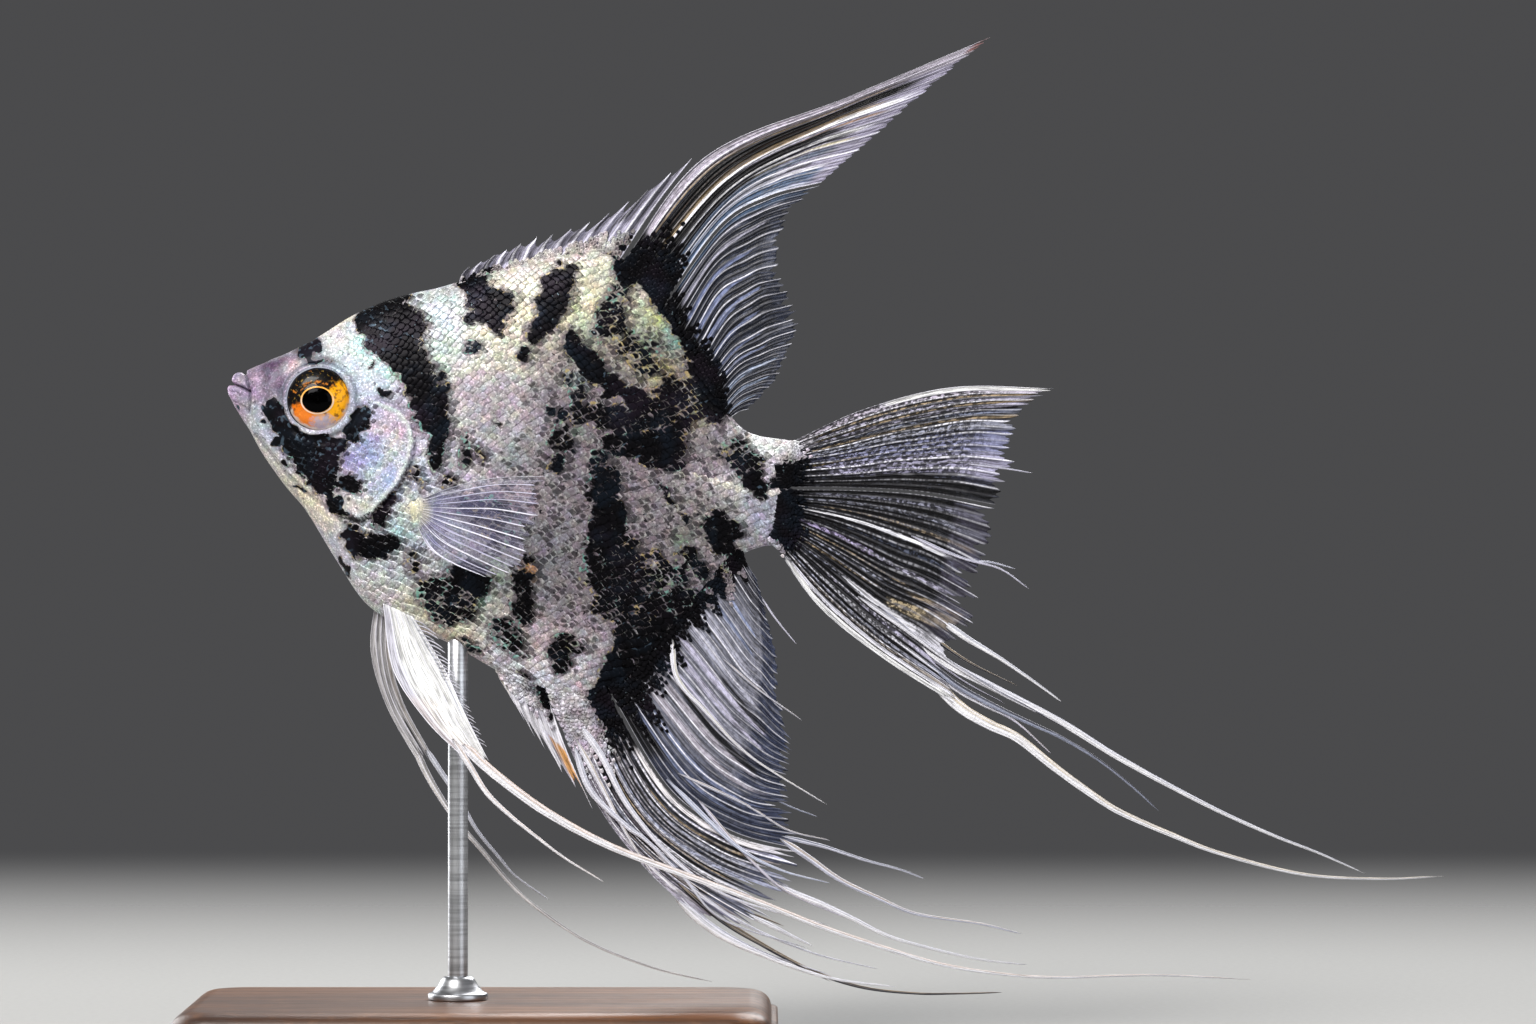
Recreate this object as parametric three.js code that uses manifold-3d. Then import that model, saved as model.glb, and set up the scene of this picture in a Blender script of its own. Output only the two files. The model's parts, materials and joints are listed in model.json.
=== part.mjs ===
// Freshwater angelfish (Pterophyllum scalare), a marble one with long veil fins, held in mid-swim on a stand.
// Millimetres. It swims towards -X with its nose a little up, its left side faces -Y, and +Z is up.
// The origin is the middle of the stand's underside.
import * as THREE from "three";
import { mergeVertices } from "three/addons/utils/BufferGeometryUtils.js";
import Module from "manifold-3d";

const wasm = await Module();
wasm.setup();

// ---------------------------------------------------------------- driving dimensions

const GAP = 0.3; // clearance between two neighbouring pieces

const BODY_WIDTH = 15; // the thickest part of the fish, from side to side
const BODY_STATIONS = 30; // steps of the body's surface along the fish
const BODY_CORNERS = 18; // and around it
const SECTION_SHARPNESS = 1.3; // 1 is an ellipse; more gives the sharp back and keel of a disc-shaped fish

const EYE_DIAMETER = 10.1; // the whole eyeball, of which the socket hides the rim
const EYE_DEPTH = 5.8; // a fish's eyeball is flatter than it is wide
const EYE_X = -23.6;
const EYE_Y = 3.75; // middle of each eyeball, out from the middle plane
const EYE_Z = 97.9;

const GILL_COVER_THICKNESS = 1.2;
const GILL_COVER_RISE = 0.35; // how far each cover stands proud of the cheek

const MEMBRANE = 0.5; // thickness of fin skin between two rays
const RAY_ROOT = 1.1; // thickness of a fin ray where it leaves the body
const RAY_TIP = 0.6; // and at the margin of the fin
const STREAMER_THICKNESS = 0.55;

const TAIL_SWING = 7; // how far the longest tail streamer trails to the fish's right
const PLUME_LEAN = -3; // how far the tip of the dorsal plume leans to its left
const PELVIC_ROOT = 1.6; // distance of each pelvic fin's root from the middle plane
const PELVIC_SPREAD = 8; // and of its blade's lower end
const PECTORAL_ANGLE = THREE.MathUtils.degToRad(28); // how far each pectoral fin stands off the flank
const PECTORAL_ROOT = [-8.3, 6.3, 81.4];

const BASE_LENGTH = 90;
const BASE_WIDTH = 56;
const BASE_HEIGHT = 8;
const BASE_CORNER = 6; // radius of the base's upright corners
const BASE_BEVEL = 0.8;
const ROD_DIAMETER = 3;
const ROD_X = -3; // just in front of the first anal spine
const ROD_INSET = 5; // how far the rod goes up into the belly
const FERRULE_DIAMETER = 9;
const FERRULE_HEIGHT = 3.5;

// ---------------------------------------------------------------- materials

function paint(color, roughness, metalness = 0) {
  return new THREE.MeshStandardMaterial({ color, roughness, metalness });
}

const FLANK_SKIN = paint("#c9c6cb", 0.35);
const DARK_SKIN = paint("#4c494f", 0.4);
const HEAD_SKIN = paint("#b9bcc9", 0.35);
const LIP_SKIN = paint("#c9bcd0", 0.4);
const IRIS = paint("#e0a020", 0.1);
const CLEAR_FIN = paint("#a9abc0", 0.45);
const DARK_FIN = paint("#45464f", 0.45);
const PALE_FIN = paint("#dcdcea", 0.45);
const WALNUT = paint("#4b3222", 0.5);
const STEEL = paint("#b8babd", 0.3, 1);

// ---------------------------------------------------------------- body outline, as [x, value] knots

const SNOUT_X = -35.2;
const TAIL_ROOT_X = 46.8;
const BACK = [
  [SNOUT_X, 101.4], [-34.4, 102.7], [-31.9, 103.7], [-28.9, 105], [-24.1, 107.5], [-18.4, 111],
  [-12.4, 113.5], [-5.7, 115], [3.3, 117.8], [12.3, 120.1], [18.6, 120.7], [22.8, 118.6],
  [28.1, 112.2], [33.8, 103], [37.4, 96.4], [40.5, 93.3], [TAIL_ROOT_X, 92],
];
const BELLY = [
  [SNOUT_X, 95.5], [-34.4, 93.2], [-32.4, 89.7], [-28.9, 84.9], [-25.8, 81.2], [-21.4, 74], [-16.9, 67.4],
  [-11.7, 64.1], [-5.1, 61.7], [2.7, 57.3], [10, 53.2], [15.3, 52.3], [21.3, 54.8], [26.6, 59.7],
  [33.3, 67.6], [38.5, 73.8], [43, 75.9], [TAIL_ROOT_X, 75.6],
];
const WIDEST_LINE = [ // height at which the body is widest
  [SNOUT_X, 98.4], [-20, 92.5], [0, 86.5], [20, 84.5], [TAIL_ROOT_X, 83.9],
];
const WIDTH_SHARE = [ // share of the greatest width
  [SNOUT_X, 0.19], [-34.4, 0.28], [-31, 0.45], [-28, 0.58], [-24, 0.71], [-18, 0.85], [-11, 0.96], [-5, 1],
  [3, 0.98], [12, 0.88], [20, 0.73], [28, 0.55], [35, 0.4], [41, 0.28], [TAIL_ROOT_X, 0.16],
];

// ---------------------------------------------------------------- cuts that part the body, as [x, z]

const HEAD_REAR = [ // behind the gill cover, from above the nape to below the throat
  [-11, 125], [-10.8, 114], [-10.1, 105], [-9.4, 98], [-8.9, 92], [-9.9, 87.2], [-12.8, 82.3],
  [-16.4, 79.6], [-21.5, 79], [-30, 78],
];
const GILL_COVER = [
  [-16.5, 98], [-12.2, 96.2], [-10.3, 93], [-9.9, 90.8], [-11.4, 86.8], [-14.5, 82.5], [-17.3, 80.9],
  [-21.2, 81], [-23.2, 82.8], [-21.8, 86], [-19, 89.7], [-17.2, 93.5],
];
const UPPER_JAW_CUT = [[-40, 100.6], [-35, 99.7], [-32.8, 98.6], [-33.2, 104], [-40, 104]];
const LOWER_JAW_CUT = [[-40, 100.1], [-35, 99.2], [-31.6, 97.4], [-30, 92.5], [-31, 86], [-40, 90]];
const MIDDLE_CUT_X = 13;
const STALK_CUT_X = 35;

// Each lip runs round the snout, between the corners of the mouth: [x, z] at a corner and in front.
const UPPER_LIP = { corner: [-33.4, 99.7], front: [-35.4, 101.1], spread: 2.2, radius: 0.85 };
const LOWER_LIP = { corner: [-33.2, 97.8], front: [-36.25, 98.6], spread: 2.3, radius: 1.2 };

// ---------------------------------------------------------------- fins, as guide rays from root to margin

const FINS = {
  dorsal_fin_spines: {
    guides: [
      [[-3, 113.5], [-2.6, 116.4], [-1.3, 118]],
      [[4.2, 115.5], [5.8, 119.4], [7.3, 121.9]],
      [[12.6, 117.5], [16, 122.4], [18.9, 125.7]],
      [[20.3, 117.5], [26.4, 126.8], [32.1, 134.2]],
    ],
    rays: 12,
    rows: 2,
    notch: 0.3,
    material: DARK_FIN,
  },
  dorsal_fin_plume: {
    guides: [
      [[20.7, 117], [34, 134.3], [55.8, 143.4], [76.8, 152.2]],
      [[23.1, 115.8], [36.4, 131.6], [53.5, 140.2], [69.9, 146.5]],
      [[25.1, 113.2], [36.6, 127.9], [48.3, 134.7], [60.1, 138]],
      [[26.7, 110.8], [36.1, 124], [43.5, 128.5], [51.6, 130.6]],
    ],
    rays: 7,
    rows: 7,
    notch: 0.06,
    material: DARK_FIN,
  },
  dorsal_fin_rear: {
    guides: [
      [[26.9, 110.3], [36.3, 123.5], [43.6, 128], [51.3, 130.1]],
      [[28.1, 108.6], [35.5, 119.4], [41.6, 123.6], [46.9, 125.8]],
      [[30, 105.5], [35.7, 114.5], [40.8, 117.8], [45.1, 119.5]],
      [[32, 102.5], [37.5, 110], [41.9, 113.2], [46.2, 114.8]],
      [[33.5, 100], [38.5, 105.5], [43, 108.1], [48.1, 110.4]],
      [[34.5, 97.5], [39.3, 102.5], [43.5, 104.4], [47.2, 105.9]],
      [[35.5, 94.5], [38.9, 98.5], [41.9, 100], [44.5, 100.6]],
      [[35.9, 92.5], [37.6, 95], [39.2, 96.2], [40.6, 96.6]],
    ],
    rays: 9,
    rows: 4,
    notch: 0.06,
    material: CLEAR_FIN,
  },
  anal_fin_spines: {
    guides: [
      [[2.4, 59.5], [3, 56.7], [3.9, 54.9]],
      [[5.5, 57.5], [6.9, 51.5], [9.8, 45.4]],
      [[9.9, 55], [13.3, 45.4], [17.3, 36.3]],
    ],
    rays: 6,
    rows: 3,
    notch: 0.3,
    material: DARK_FIN,
  },
  anal_fin_front: {
    guides: [
      [[10.4, 54.4], [16.7, 39.4], [24.3, 28.6], [34, 19.2]],
      [[13, 54], [19.8, 37.9], [29.5, 27.8], [43.8, 19.2]],
      [[16.1, 54.4], [24.3, 37.9], [34, 29.7], [46.8, 24.4]],
      [[18.5, 55.6], [28.2, 39.6], [37.9, 32.8], [49.3, 29.8]],
    ],
    rays: 6,
    rows: 6,
    notch: 0.06,
    material: DARK_FIN,
  },
  anal_fin_rear: {
    guides: [
      [[18.8, 56.1], [28.5, 40], [38.1, 33.3], [49.3, 30.3]],
      [[20.9, 57.2], [31, 43.2], [39.3, 37.2], [47.5, 35.7]],
      [[23.4, 59.6], [33.3, 47.7], [40.5, 41.7], [46.8, 39.4]],
      [[26.3, 62.7], [35.5, 52.2], [41.5, 46.2], [47.1, 43.2]],
      [[29.3, 66], [37.5, 55.9], [42.6, 50.7], [47.1, 46.9]],
      [[32.2, 69.6], [39.3, 60.4], [43, 55.9], [45.3, 53.7]],
      [[34.6, 72.4], [40, 65], [43, 61.2], [44.9, 59.8]],
      [[36.8, 75.4], [40.5, 69.8], [42.3, 67.2], [43.4, 66.1]],
      [[38.5, 77.3], [40.3, 73.6], [41.1, 72.2], [41.9, 71]],
    ],
    rays: 9,
    rows: 4,
    notch: 0.06,
    material: CLEAR_FIN,
  },
  tail_fin_upper: {
    guides: [
      [[45.4, 90.9], [58, 96.6], [71.5, 99.9], [86.5, 99.7]],
      [[45.5, 90], [58, 94.2], [70.8, 97.2], [84.3, 98.2]],
      [[45.6, 88.9], [58, 92], [70, 94.3], [81.3, 95]],
      [[45.6, 87.6], [57.3, 89.5], [69.3, 90.9], [81, 90.9]],
      [[45.6, 86.2], [57.3, 87.1], [68.5, 87.8], [79.8, 86.8]],
      [[45.6, 84.9], [56.5, 84.8], [67, 84.1], [77.7, 82.2]],
    ],
    rays: 7,
    rows: 5,
    notch: 0.04,
    material: PALE_FIN,
  },
  tail_fin_lower: {
    guides: [
      [[45.6, 84.5], [56.5, 84.4], [67, 83.7], [77.5, 81.7]],
      [[45.6, 83.1], [56.5, 81.9], [66.3, 79.8], [76.8, 76.2]],
      [[45.5, 81.9], [55.8, 79.2], [65.5, 75.5], [75, 71]],
      [[45.4, 80.6], [55, 76.2], [64, 71.7], [75.6, 66.1]],
      [[45.2, 79.4], [54, 74], [62.5, 68.7], [73, 63.1]],
      [[44.9, 78.3], [52.8, 71.7], [61, 65], [70, 58.2]],
      [[44.5, 77.4], [51.6, 69.5], [60.3, 61.9], [71.2, 54.4]],
      [[44.2, 76.6], [51.1, 67], [60.9, 59.1], [71.9, 52.2]],
    ],
    rays: 9,
    rows: 5,
    notch: 0.04,
    material: DARK_FIN,
  },
  pelvic_fin_left: {
    guides: [
      [[-14.1, 67.5], [-12.6, 57.8], [-7.5, 50.2], [-1.5, 44.4]],
      [[-11.8, 66.5], [-8.2, 57.4], [-3.8, 50], [0.6, 44]],
      [[-9.7, 65.5], [-4.9, 57.8], [-1.8, 51.5], [2.1, 43.9]],
    ],
    rays: 4,
    rows: 6,
    notch: 0.04,
    side: -1,
    material: PALE_FIN,
  },
  pelvic_fin_right: {
    guides: [
      [[-15.3, 68.5], [-16.3, 60.4], [-14.1, 51.8], [-9, 42.4]],
      [[-14.2, 68], [-14.8, 60.1], [-12.8, 52], [-7.9, 42.8]],
      [[-13.2, 67.5], [-13.3, 59.7], [-11.5, 52.2], [-6.8, 43.3]],
    ],
    rays: 3,
    rows: 6,
    notch: 0.04,
    side: 1,
    material: PALE_FIN,
  },
};
const PECTORAL_FIN = { // from the middle of the fin's own root, as seen from the fish's side
  guides: [
    [[-0.6, 1.2], [4.9, 3.4], [11.6, 4.8], [19.1, 5]],
    [[-0.3, 0.6], [5.3, 1.2], [11.6, 1.6], [18.3, 0.8]],
    [[0, 0], [5.3, -1.4], [10.8, -2.9], [16.8, -4.8]],
    [[-0.1, -0.6], [4.1, -3.9], [9.4, -6.3], [15.2, -8.9]],
    [[-0.6, -1.2], [1.4, -5.4], [4.9, -7.8], [10.1, -9.9]],
  ],
  rays: 6,
  rows: 4,
  notch: 0.05,
};

// ---------------------------------------------------------------- streamers, as the [x, z] path of each
// Each is the long free end of some fin rays. Its width is at the root, across the flat of the ribbon.
// A pelvic one starts out to its own side. drift is how much further it wanders sideways by its tip.

const STREAMERS = {
  tail_streamer_long: {
    path: [[72.3, 51.9], [76.6, 49.3], [81, 47.2], [86.8, 42.6], [92.2, 38.7], [96.5, 36], [104, 32.7],
      [111.5, 29.8], [123.9, 26.6], [135.6, 25.8], [145.8, 26.1]],
    width: 2,
    material: PALE_FIN,
  },
  tail_streamer_second: {
    path: [[70.8, 58.2], [76.6, 55.2], [87.5, 49.6], [95.4, 44.7], [103.5, 40.2], [111.5, 36.1],
      [119.5, 32.5], [126.4, 29.8], [133.5, 26.7]],
    width: 1.5,
    drift: -1.5,
    material: PALE_FIN,
  },
  tail_streamer_third: {
    path: [[71.9, 55.1], [77.5, 52], [83, 49.4], [87.5, 47.3], [93.3, 43.8], [98.1, 40], [102.5, 36]],
    width: 1,
    drift: 2.5,
    material: DARK_FIN,
  },
  tail_streamer_short: {
    path: [[72.9, 62.5], [76, 60.6], [78.9, 58.8], [83.7, 55.5], [87.6, 52.6]],
    width: 1.2,
    drift: -1,
    material: DARK_FIN,
  },
  anal_streamer_lowest: {
    path: [[34.4, 19], [38.5, 16.6], [42, 15.1], [48, 12.8], [54, 11.2], [62.8, 10.2]],
    width: 1.4,
    drift: -4,
    material: PALE_FIN,
  },
  anal_streamer_dark: {
    path: [[39.6, 18.1], [45, 14.9], [51, 11.9], [58, 9.6], [65.8, 8.6], [71.7, 8.4], [78.9, 8.6]],
    width: 0.9,
    drift: 3,
    material: DARK_FIN,
  },
  anal_streamer_short: {
    path: [[44.2, 19], [47.2, 17.5], [50.4, 15.9]],
    width: 1,
    material: PALE_FIN,
  },
  anal_streamer_middle: {
    path: [[47.2, 24.1], [51.5, 22.4], [56.2, 20.2], [61, 17.8], [65.8, 16.3], [74.7, 14.2], [82.6, 13.3]],
    width: 1.1,
    drift: -2,
    material: PALE_FIN,
  },
  anal_streamer_long: {
    path: [[49.7, 29.2], [54.4, 25.9], [60.1, 23.2], [65.8, 20.8], [75.3, 19.3], [81.8, 17.6]],
    width: 1.1,
    drift: 1.5,
    material: PALE_FIN,
  },
  anal_streamer_upper: {
    path: [[49.4, 31.6], [52.5, 30.8], [58.2, 28.9], [63.1, 27.6], [67, 26.1]],
    width: 0.8,
    drift: -1,
    material: CLEAR_FIN,
  },
  pelvic_streamer_left_long: {
    path: [[1.9, 43], [8.2, 38.1], [13.3, 34.9], [18.4, 32.2], [24, 29.8], [33.3, 26.4], [42, 23.2],
      [51, 19.6], [59.8, 16.6], [68.8, 13.9], [77.7, 12.4], [86.5, 11.8], [101.4, 12.1], [115.6, 11.4]],
    width: 1.6,
    side: -1,
    drift: 3,
    material: PALE_FIN,
  },
  pelvic_streamer_left_short: {
    path: [[-0.9, 43.5], [1.7, 39.4], [5, 36.2], [9, 33], [13.3, 29.8], [19.2, 26.2]],
    width: 1.1,
    side: -1,
    drift: -2,
    material: PALE_FIN,
  },
  pelvic_streamer_right_long: {
    path: [[-8.3, 41.9], [-6.3, 38.4], [-3.4, 34.2], [0.4, 29.8], [4.3, 25.2], [8.2, 21.6], [16.1, 16.3],
      [25.9, 12.4], [35.2, 10.2]],
    width: 1.2,
    side: 1,
    drift: -2,
    material: PALE_FIN,
  },
  pelvic_streamer_right_short: {
    path: [[-6.5, 42.6], [-3.2, 37.6], [-0.6, 33], [3.2, 28.3], [5.3, 25.9], [10.3, 22.3]],
    width: 1,
    side: 1,
    drift: 2,
    material: PALE_FIN,
  },
};

// ---------------------------------------------------------------- interpolation

const { lerp, clamp, smoothstep } = THREE.MathUtils;

// The value at x of a smooth curve through [x, value] knots.
function valueAt(knots, x) {
  const last = knots.length - 1;
  const at = clamp(x, knots[0][0], knots[last][0]);
  const slope = (k) => {
    const [x0, v0] = knots[Math.max(k - 1, 0)];
    const [x1, v1] = knots[Math.min(k + 1, last)];
    return (v1 - v0) / (x1 - x0);
  };
  let i = 0;
  while (i < last - 1 && at > knots[i + 1][0]) i += 1;
  const span = knots[i + 1][0] - knots[i][0];
  const t = (at - knots[i][0]) / span;
  const middle = lerp(knots[i][1], knots[i + 1][1], t * t * (3 - 2 * t));
  return middle + span * t * (1 - t) * ((1 - t) * slope(i) - t * slope(i + 1));
}

// The point at t, from 0 to 1, of a smooth curve through evenly spaced points.
function pointAt(points, t) {
  const last = points.length - 1;
  const i = Math.min(Math.floor(t * last), last - 1);
  const s = t * last - i;
  const past = (end, inner) => end.map((value, axis) => 2 * value - inner[axis]);
  const b = points[i];
  const c = points[i + 1];
  const a = points[i - 1] ?? past(b, c);
  const d = points[i + 2] ?? past(c, b);
  const blend = (n) => {
    const rise = c[n] - a[n];
    const bend = 2 * a[n] - 5 * b[n] + 4 * c[n] - d[n];
    const twist = 3 * (b[n] - c[n]) + d[n] - a[n];
    return b[n] + 0.5 * s * (rise + s * (bend + s * twist));
  };
  return b.map((_, n) => blend(n));
}

// A point of the surface that a family of guide rays spans: u runs across the rays and v along them.
const spanAt = (guides, u, v) => pointAt(guides.map((guide) => pointAt(guide, v)), u);

const smoothOutline = (points, closed, count) => {
  const curve = new THREE.CatmullRomCurve3(points.map(([x, z]) => new THREE.Vector3(x, 0, z)), closed);
  const ring = curve.getPoints(count).map((p) => [p.x, p.z]);
  return closed ? ring.slice(0, -1) : ring;
};

// How far a point of a middle fin stands to the fish's right: the tail swings and the plume leans.
const sway = (x, z) => {
  const along = Math.max(x - TAIL_ROOT_X, 0) / 100;
  const up = Math.max(z - 121, 0) / 31;
  return TAIL_SWING * along ** 2 + PLUME_LEAN * up ** 2;
};

// ---------------------------------------------------------------- closed solids, joined and cut

// A closed geometry through rings of equal count; a zigzag of triangles closes each end.
function loft(rings) {
  const count = rings[0].length;
  const index = [];
  for (let r = 0; r + 1 < rings.length; r += 1) {
    for (let i = 0; i < count; i += 1) {
      const j = (i + 1) % count;
      const near = r * count;
      const far = near + count;
      index.push(near + i, near + j, far + j, near + i, far + j, far + i);
    }
  }
  const close = (first, outward) => {
    let low = 0;
    let high = count - 1;
    for (let n = 0; high - low > 1; n += 1) {
      const third = n % 2 ? high - 1 : low + 1;
      const [second, last] = outward ? [third, high] : [high, third];
      index.push(first + low, first + second, first + last);
      if (n % 2) high -= 1;
      else low += 1;
    }
  };
  close(0, false);
  close((rings.length - 1) * count, true);
  const geometry = new THREE.BufferGeometry().setFromPoints(rings.flat());
  geometry.setIndex(index);
  return geometry;
}

// Six times the signed volume: it is negative where the faces point inwards.
function signedVolume(geometry) {
  const position = geometry.getAttribute("position");
  const corner = (k) => new THREE.Vector3().fromBufferAttribute(position, geometry.index.getX(k));
  let sum = 0;
  for (let k = 0; k < geometry.index.count; k += 3) sum += corner(k).dot(corner(k + 1).cross(corner(k + 2)));
  return sum;
}

function toSolid(geometry) {
  const bare = geometry.clone();
  bare.deleteAttribute("normal");
  bare.deleteAttribute("uv");
  const merged = mergeVertices(bare, 1e-4);
  if (signedVolume(merged) < 0) merged.index.array.reverse();
  const triVerts = new Uint32Array(merged.index.array);
  const vertProperties = new Float32Array(merged.getAttribute("position").array);
  return new wasm.Manifold(new wasm.Mesh({ numProp: 3, vertProperties, triVerts }));
}

// A mesh of a solid's main body, as a cut may leave a sliver beside it. place moves it to its own frame.
function toMesh(name, solid, material, place = new THREE.Matrix4()) {
  const main = solid.decompose().sort((a, b) => b.volume() - a.volume())[0].getMesh();
  const geometry = new THREE.BufferGeometry();
  geometry.setAttribute("position", new THREE.BufferAttribute(new Float32Array(main.vertProperties), 3));
  geometry.setIndex(new THREE.BufferAttribute(new Uint32Array(main.triVerts), 1));
  geometry.applyMatrix4(place);
  geometry.computeVertexNormals();
  const mesh = new THREE.Mesh(geometry, material);
  mesh.name = name;
  return mesh;
}

// A prism across the fish, from an outline seen from its side, between two distances to its right.
function prism(outline, from, to) {
  const shape = new THREE.Shape(outline.map(([x, z]) => new THREE.Vector2(x, z)));
  const geometry = new THREE.ExtrudeGeometry(shape, { depth: to - from, bevelEnabled: false });
  return toSolid(geometry.rotateX(Math.PI / 2).translate(0, to, 0));
}

const block = (fromX, toX) => {
  const size = 2 * BODY_WIDTH;
  return prism([[fromX, 40], [toX, 40], [toX, 130], [fromX, 130]], -size, size);
};

// An outline moved outwards by a distance, with its corners kept sharp.
function grown(outline, by) {
  const corners = outline.map(([x, z]) => new THREE.Vector2(x, z));
  const side = Math.sign(THREE.ShapeUtils.area(corners));
  return corners.map((corner, i) => {
    const before = corner.clone().sub(corners.at(i - 1)).normalize();
    const after = corners[(i + 1) % corners.length].clone().sub(corner).normalize();
    const out = new THREE.Vector2(before.y + after.y, -before.x - after.x);
    const reach = (2 * side * by) / out.lengthSq();
    return [corner.x + out.x * reach, corner.y + out.y * reach];
  });
}

// ---------------------------------------------------------------- body

// The body without fins, swollen by grow on every side, or shrunk where grow is negative.
function bodySolid(grow = 0) {
  const rings = [];
  for (let s = 0; s <= BODY_STATIONS; s += 1) {
    const share = (s / BODY_STATIONS) ** 1.2; // closer steps at the head
    const x = lerp(SNOUT_X, TAIL_ROOT_X, share);
    const middle = valueAt(WIDEST_LINE, x);
    const half = Math.max((BODY_WIDTH / 2) * valueAt(WIDTH_SHARE, x) + grow, 0.2);
    const ring = [];
    for (let c = 0; c < BODY_CORNERS; c += 1) {
      const angle = (c / BODY_CORNERS) * 2 * Math.PI - Math.PI / 2;
      const rise = Math.sin(angle);
      const reach = rise > 0 ? valueAt(BACK, x) - middle : middle - valueAt(BELLY, x);
      const across = Math.sign(Math.cos(angle)) * Math.abs(Math.cos(angle)) ** SECTION_SHARPNESS;
      const height = middle + (reach + grow) * rise;
      ring.push(new THREE.Vector3(x + grow * (2 * share - 1), half * across, height));
    }
    rings.push(ring);
  }
  return toSolid(loft(rings));
}

const BODY = bodySolid();
const BODY_CLEAR = bodySolid(GAP);

function eyeball(side, grow = 0) {
  const ball = new THREE.SphereGeometry(1, 14, 9);
  ball.scale(EYE_DIAMETER / 2 + grow, EYE_DEPTH / 2 + grow, EYE_DIAMETER / 2 + grow);
  return toSolid(ball.translate(EYE_X, side * EYE_Y, EYE_Z));
}

// A lip is a rounded bead along a half ellipse, thinner at the corners of the mouth.
function lipSolid({ corner, front, spread, radius }, grow = 0) {
  const steps = 6;
  const sides = 6;
  const rings = [];
  for (let s = 0; s <= steps; s += 1) {
    const turn = lerp(-Math.PI / 2, Math.PI / 2, s / steps);
    const forward = Math.cos(turn);
    const size = radius * lerp(0.6, 1, forward) + grow;
    const x = lerp(corner[0], front[0], forward);
    const y = spread * Math.sin(turn);
    const z = lerp(corner[1], front[1], forward);
    const ring = [];
    for (let k = 0; k < sides; k += 1) {
      const angle = (k / sides) * 2 * Math.PI;
      const out = size * Math.cos(angle);
      const height = z + size * Math.sin(angle);
      ring.push(new THREE.Vector3(x - out * Math.cos(turn), y + out * Math.sin(turn), height));
    }
    rings.push(ring);
  }
  return toSolid(loft(rings));
}

const gillRegion = (side, outline) => prism(outline, ...(side < 0 ? [-9, -1] : [1, 9]));

function addHead(fish) {
  const rear = [...smoothOutline(HEAD_REAR, false, 12), [-60, 78], [-60, 125]];
  const gillOutline = smoothOutline(GILL_COVER, true, 18);
  const region = prism(rear, -BODY_WIDTH, BODY_WIDTH);
  let head = BODY.intersect(region);
  const jaws = [["upper_jaw", UPPER_JAW_CUT, UPPER_LIP], ["lower_jaw", LOWER_JAW_CUT, LOWER_LIP]];
  for (const [name, cut, lip] of jaws) {
    const other = name === "upper_jaw" ? LOWER_LIP : UPPER_LIP;
    const jaw = BODY.intersect(prism(cut, -BODY_WIDTH, BODY_WIDTH)).add(lipSolid(lip));
    fish.add(toMesh(name, name === "upper_jaw" ? jaw.subtract(lipSolid(other, GAP)) : jaw, LIP_SKIN));
    head = head.subtract(prism(grown(cut, GAP), -BODY_WIDTH, BODY_WIDTH)).subtract(lipSolid(lip, GAP));
  }
  for (const side of [-1, 1]) {
    const name = side < 0 ? "left" : "right";
    const core = bodySolid(-GILL_COVER_THICKNESS);
    const bed = gillRegion(side, grown(gillOutline, GAP)).subtract(bodySolid(-GILL_COVER_THICKNESS - GAP));
    head = head.subtract(bed).subtract(eyeball(side, GAP));
    const cover = bodySolid(GILL_COVER_RISE).intersect(gillRegion(side, gillOutline)).subtract(core);
    fish.add(toMesh(`gill_cover_${name}`, cover, HEAD_SKIN));
    fish.add(toMesh(`eye_${name}`, eyeball(side), IRIS));
  }
  fish.add(toMesh("head", head, HEAD_SKIN));
  return region.translate([GAP, 0, -GAP]);
}

function rodSolid(grow = 0) {
  const top = valueAt(BELLY, ROD_X) + ROD_INSET + grow;
  const radius = ROD_DIAMETER / 2 + grow;
  const rod = new THREE.CylinderGeometry(radius, radius, top - BASE_HEIGHT, 16);
  return toSolid(rod.rotateX(Math.PI / 2).translate(ROD_X, 0, (top + BASE_HEIGHT) / 2));
}

function addTrunk(fish, headRegion) {
  const rest = BODY.subtract(headRegion);
  const front = rest.intersect(block(-60, MIDDLE_CUT_X)).subtract(rodSolid(GAP));
  fish.add(toMesh("trunk_front", front, FLANK_SKIN));
  fish.add(toMesh("trunk_rear", rest.intersect(block(MIDDLE_CUT_X + GAP, STALK_CUT_X)), DARK_SKIN));
  fish.add(toMesh("tail_stalk", rest.intersect(block(STALK_CUT_X + GAP, 60)), FLANK_SKIN));
}

// ---------------------------------------------------------------- fins and streamers

// A fin is a sheet across its guide rays, with a ridge on each ray and thin skin between two. There the
// margin is notched by a share of the ray's length.
function finSolid({ guides, rays, rows, notch }, place) {
  const columns = 2 * (rays - 1);
  const rings = [];
  for (let r = 0; r <= rows; r += 1) {
    const near = [];
    const far = [];
    for (let c = 0; c <= columns; c += 1) {
      const isRay = c % 2 === 0;
      const along = (r / rows) * (isRay ? 1 : 1 - notch);
      const half = (isRay ? lerp(RAY_ROOT, RAY_TIP, r / rows) : MEMBRANE) / 2;
      const [x, z] = spanAt(guides, c / columns, along);
      near.push(place(x, z, along, -half));
      far.unshift(place(x, z, along, half));
    }
    rings.push([...near, ...far]);
  }
  return toSolid(loft(rings));
}

// The sideways place of a point: on the middle plane, or out to one side on a pelvic fin.
const acrossAt = (side, x, z, along) =>
  side ? side * lerp(PELVIC_ROOT, PELVIC_SPREAD, smoothstep(along, 0, 1)) : sway(x, z);

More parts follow.
